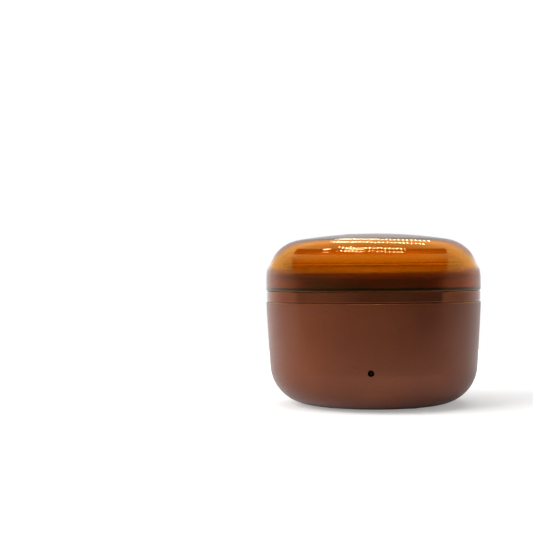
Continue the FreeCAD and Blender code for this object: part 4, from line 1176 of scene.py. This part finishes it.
paper, tree, shader = bare_finish("floor_paper", Roughness=0.9, Specular_IOR_Level=0.0,
                                  Emission_Color=(1, 1, 1, 1))
white = tones(tree, shader, grain(tree, 8, 2), (0.80, 0.80, 0.80), (0.82, 0.82, 0.82))
rays = add(tree, "ShaderNodeLightPath").outputs
place = on_piece(tree)
away = add(tree, "ShaderNodeVectorMath", operation="LENGTH", vector=place).outputs["Value"]
depth = add(tree, "ShaderNodeSeparateXYZ", vector=place).outputs["Y"]
dim = product(tree, rays["Is Glossy Ray"], ease(tree, away, *DIM_AWAY), ease(tree, depth, *DIM_BEFORE))
feed(tree, shader.inputs["Base Color"], mixed(tree, dim, white, DIM_TONE))
seen = sums(tree, "MAXIMUM", rays["Is Camera Ray"], rays["Is Transmission Ray"])
glow = product(tree, seen, ease(tree, away, *GLOW_AWAY))
feed(tree, shader.inputs["Emission Strength"], glow)
floor_mesh.materials.append(paper)
print("floor paper:", len(tree.nodes), "nodes")

# %% [markdown]
# ## The room: directions
# The room is Blender's world: light from far away, by direction. For what the polished pieces mirror,
# it helps to know which slope of the heater would send a ray that way to a viewer in front. That slope
# is halfway between the ray and the way back to the viewer. It has a rise, which is 0 on an upright
# wall and 1 on a flat top, and a turn, which is 0 in front and grows to the right.

# %% Room directions
LOOKING = (0, 1, 0)

world = bpy.data.worlds.new("white_room")
scene.world = world
world.use_nodes = True
tree = world.node_tree
tree.nodes.clear()
direction = add(tree, "ShaderNodeTexCoord").outputs["Generated"]
across, away, upward = add(tree, "ShaderNodeSeparateXYZ", vector=direction).outputs

halfway = add(tree, "ShaderNodeVectorMath", operation="SUBTRACT", vector=direction)
halfway.inputs[1].default_value = LOOKING
slope = add(tree, "ShaderNodeVectorMath", operation="NORMALIZE", vector=halfway.outputs[0])
lean = add(tree, "ShaderNodeSeparateXYZ", vector=slope.outputs[0])
rise = lean.outputs["Z"]
turn = sums(tree, "ARCTAN2", lean.outputs["X"], product(tree, lean.outputs["Y"], -1.0))
print("room directions:", len(tree.nodes), "nodes")

# %% [markdown]
# ## The front of the room
# In their middle, the polished pieces show the front of the room. It is dim, with a little more light
# low on the left, and a bright strip higher up that the lid shows. A picture of a room could be
# wrapped round the scene. Here each light is a soft step along a direction or a slope, so it can be
# moved by one number.

# %% Room front
# Each step is: from, to, level before and level after.
SIDE_LIGHT = (-1.0, 0.0, 0.36, 0.12)    # across, so brighter on the left
LOW_LIGHT = (0.05, 0.40, 1.0, 0.15)     # upward, so brighter low down
STRIP_FOOT = (0.40, 0.54, 0.0, 1.0)     # both by the rise of the slope
STRIP_TOP = (0.565, 0.60, 1.6, 0.0)

low_left = product(tree, ease(tree, across, *SIDE_LIGHT), ease(tree, upward, *LOW_LIGHT))
strip = product(tree, ease(tree, rise, *STRIP_FOOT), ease(tree, rise, *STRIP_TOP))
front = sums(tree, "ADD", low_left, strip)
print("room front:", len(tree.nodes), "nodes")

# %% [markdown]
# ## Walls and ceiling
# The walls at both sides are bright and a little brighter on the left, and the ceiling is brightest.
# Far away the ceiling fades, which keeps the flat top of the lid calm.

# %% Room walls
WALL_AWAY = (0.2, 0.8, 0.65, 1.0)
WALL_ACROSS = (-0.6, 0.6, 1.15, 0.80)
CEILING_FROM, CEILING_TO, CEILING = 0.10, 0.30, 1.7
FADE_RISE = (0.3, 0.6, 0.0, 1.0)
FADE_AWAY = (0.68, 0.95, 0.0, 0.62)

sides = product(tree, ease(tree, away, *WALL_AWAY), ease(tree, across, *WALL_ACROSS))
walls = ease(tree, rise, CEILING_FROM, CEILING_TO, sides, CEILING)
fade = product(tree, ease(tree, rise, *FADE_RISE), ease(tree, away, *FADE_AWAY))
walls = product(tree, walls, sums(tree, "SUBTRACT", 1.0, fade))
print("room walls:", len(tree.nodes), "nodes")

# %% [markdown]
# The front gives way to the walls at a certain turn to either side, and to the ceiling at a certain
# rise. Both borders are narrow, so the polished ring shows a dark middle between two bright ends, with
# a clear edge. The ceiling's light is warm.

# %% Mirrored room
WHITE = (1, 1, 1, 1)
WARM = (1.0, 0.88, 0.28, 1)
SIDE_TURN, SIDE_SPREAD, SIDE_SHIFT = 0.726, 0.245, 0.035
SIDE_BORDER = (-0.01, 0.02)
CEILING_BORDER = (0.70, 0.725)
WARM_AWAY = (0.72, 0.97, 1.0, 0.0)

reach = sums(tree, "MULTIPLY_ADD", rise, SIDE_SPREAD, SIDE_TURN)
off_centre = sums(tree, "ABSOLUTE", sums(tree, "ADD", turn, SIDE_SHIFT))
beside = ease(tree, sums(tree, "SUBTRACT", off_centre, reach), *SIDE_BORDER)
bright = sums(tree, "MAXIMUM", beside, ease(tree, rise, *CEILING_BORDER))
room = sums(tree, "ADD", product(tree, walls, bright),
            product(tree, front, sums(tree, "SUBTRACT", 1.0, bright)))
warmth = product(tree, ease(tree, rise, CEILING_FROM, CEILING_TO), ease(tree, away, *WARM_AWAY))
room_tone = mixed(tree, warmth, WHITE, WARM)
print("mirrored room:", len(tree.nodes), "nodes")

# %% [markdown]
# ## Rows of small lamps
# Under the ceiling hang rows of small golden lamps, and the lid mirrors them as strings of beads. Real
# lamps would need many objects and many samples. Here each row is a narrow band of rise, bowed and
# slanted a little, between two turns. A sine along the turn makes the beads, and short plain
# strips lie beside them.

# %% Lamp rows
LAMP_TONE = (1.0, 0.97, 0.74, 1)
ROW_CORE, ROW_EDGE = 0.007, 0.017       # half widths of a row
ROW_END = 0.03                          # a row fades over this turn
BEAD = (0.3, 0.9)                       # how much of the sine is a bead
BOW = 0.05
LAMP_ROWS = (                           # rise, first turn, last turn, slant, power, beads
    (0.950, -0.74, 0.80, 0.03, 18.0, 100), (0.878, -0.60, 0.66, 0.045, 38.0, 124),
    (0.738, -0.40, 0.36, 0.068, 80.0, 148), (0.658, -0.38, 0.34, 0.068, 56.0, 148),
    (0.712, -0.56, -0.45, 0.02, 30.0, 0), (0.640, -0.54, -0.44, 0.02, 9.0, 0),
    (0.694, -0.31, -0.08, 0.12, 22.0, 0), (0.628, -0.31, -0.08, 0.12, 7.0, 0))

bowed = sums(tree, "ADD", rise, product(tree, turn, turn, BOW))
rows = 0.0
for middle, first, last, slant, power, beads in LAMP_ROWS:
    level = sums(tree, "ADD", bowed, product(tree, turn, slant))
    off_row = sums(tree, "ABSOLUTE", sums(tree, "SUBTRACT", level, middle))
    row = product(tree, ease(tree, off_row, ROW_CORE, ROW_EDGE, power, 0.0),
                  ease(tree, turn, first, first + ROW_END),
                  ease(tree, turn, last - ROW_END, last, 1.0, 0.0))
    if beads:
        row = product(tree, row, ease(tree, sums(tree, "SINE", product(tree, turn, beads)), *BEAD))
    rows = sums(tree, "ADD", row, rows)
print("lamp rows:", len(LAMP_ROWS))

# %% [markdown]
# ## The room through the lid
# Lamps hardly light what stands under the lid, because their light would have to bend through two walls
# to get there. So the rays that leave the lid find a light of their own: a bright sky above, a white
# room behind that is brighter at the sides, and a dim front.

# %% Room through the lid
SKY_UP = (0.12, 0.55, 0.0, 4.6)
SKY_AWAY = (0.0, 0.45, 1.0, 0.32)
FRONT_TO_BACK = (-0.5, 0.5, 0.03, 0.68)
MIDDLE_SHIFT = 0.02
NEAR_SIDES = (0.09, 0.20, 1.0, 1.27)
FAR_SIDES = (0.4, 0.9, 1.0, 1.45)

sky = product(tree, ease(tree, upward, *SKY_UP), ease(tree, away, *SKY_AWAY))
aside = sums(tree, "ABSOLUTE", sums(tree, "ADD", across, MIDDLE_SHIFT))
behind = product(tree, ease(tree, away, *FRONT_TO_BACK), ease(tree, aside, *NEAR_SIDES),
                 ease(tree, aside, *FAR_SIDES))
through = sums(tree, "MAXIMUM", behind, sky)
print("room through the lid:", len(tree.nodes), "nodes")

# %% [markdown]
# ## One world for all rays
# Each kind of ray now gets its own view of the room: a plain level for what lights the pieces, the room
# and its lamps for mirrors, the sky and the back for rays through the lid, and plain white for the
# camera. Light Path tells the rays apart.

# %% World
PLAIN_LEVEL = 0.25


def light(strength, tone=WHITE):
    return add(tree, "ShaderNodeBackground", color=tone, strength=strength).outputs[0]


mirrored = add(tree, "ShaderNodeAddShader")
feed(tree, mirrored.inputs[0], light(room, room_tone))
feed(tree, mirrored.inputs[1], light(rows, LAMP_TONE))
rays = add(tree, "ShaderNodeLightPath").outputs
shown = light(PLAIN_LEVEL)
for ray, view in (("Is Glossy Ray", mirrored.outputs[0]), ("Is Transmission Ray", light(through)),
                  ("Is Camera Ray", light(1.0))):
    choice = add(tree, "ShaderNodeMixShader", fac=rays[ray])
    feed(tree, choice.inputs[1], shown)
    feed(tree, choice.inputs[2], view)
    shown = choice.outputs[0]
add(tree, "ShaderNodeOutputWorld", surface=shown)
print("world ready:", len(tree.nodes), "nodes")

# %% [markdown]
# ## Soft lamps
# Three large area lamps give the shape its shading: a strong one from the left, a weak one from the
# right, and one from above that makes the shadow on the floor. They stay out of mirrors and out of what
# shows through the lid, because the room does that part.

# %% Lamps
AIM = (0, 0, 0.05)


def softbox(name, place, size, power):
    lamp = bpy.data.objects.new(name, bpy.data.lights.new(name, "AREA"))
    scene.collection.objects.link(lamp)
    lamp.data.shape = "RECTANGLE"
    lamp.data.size, lamp.data.size_y = size
    lamp.data.energy = power
    aim = (Vector(AIM) - Vector(place)).to_track_quat("-Z", "Y")
    lamp.matrix_world = Matrix.Translation(place) @ aim.to_matrix().to_4x4()
    lamp.visible_glossy = False
    lamp.visible_transmission = False


softbox("top_box", (0.0, 0.1, 1.1), (1.2, 1.0), 7)
softbox("left_box", (-1.0, -0.5, 0.6), (1.4, 1.2), 24)
softbox("right_box", (1.0, -0.5, 0.6), (0.8, 0.8), 2.5)
scene.view_settings.view_transform = "Standard"
print("three soft lamps")
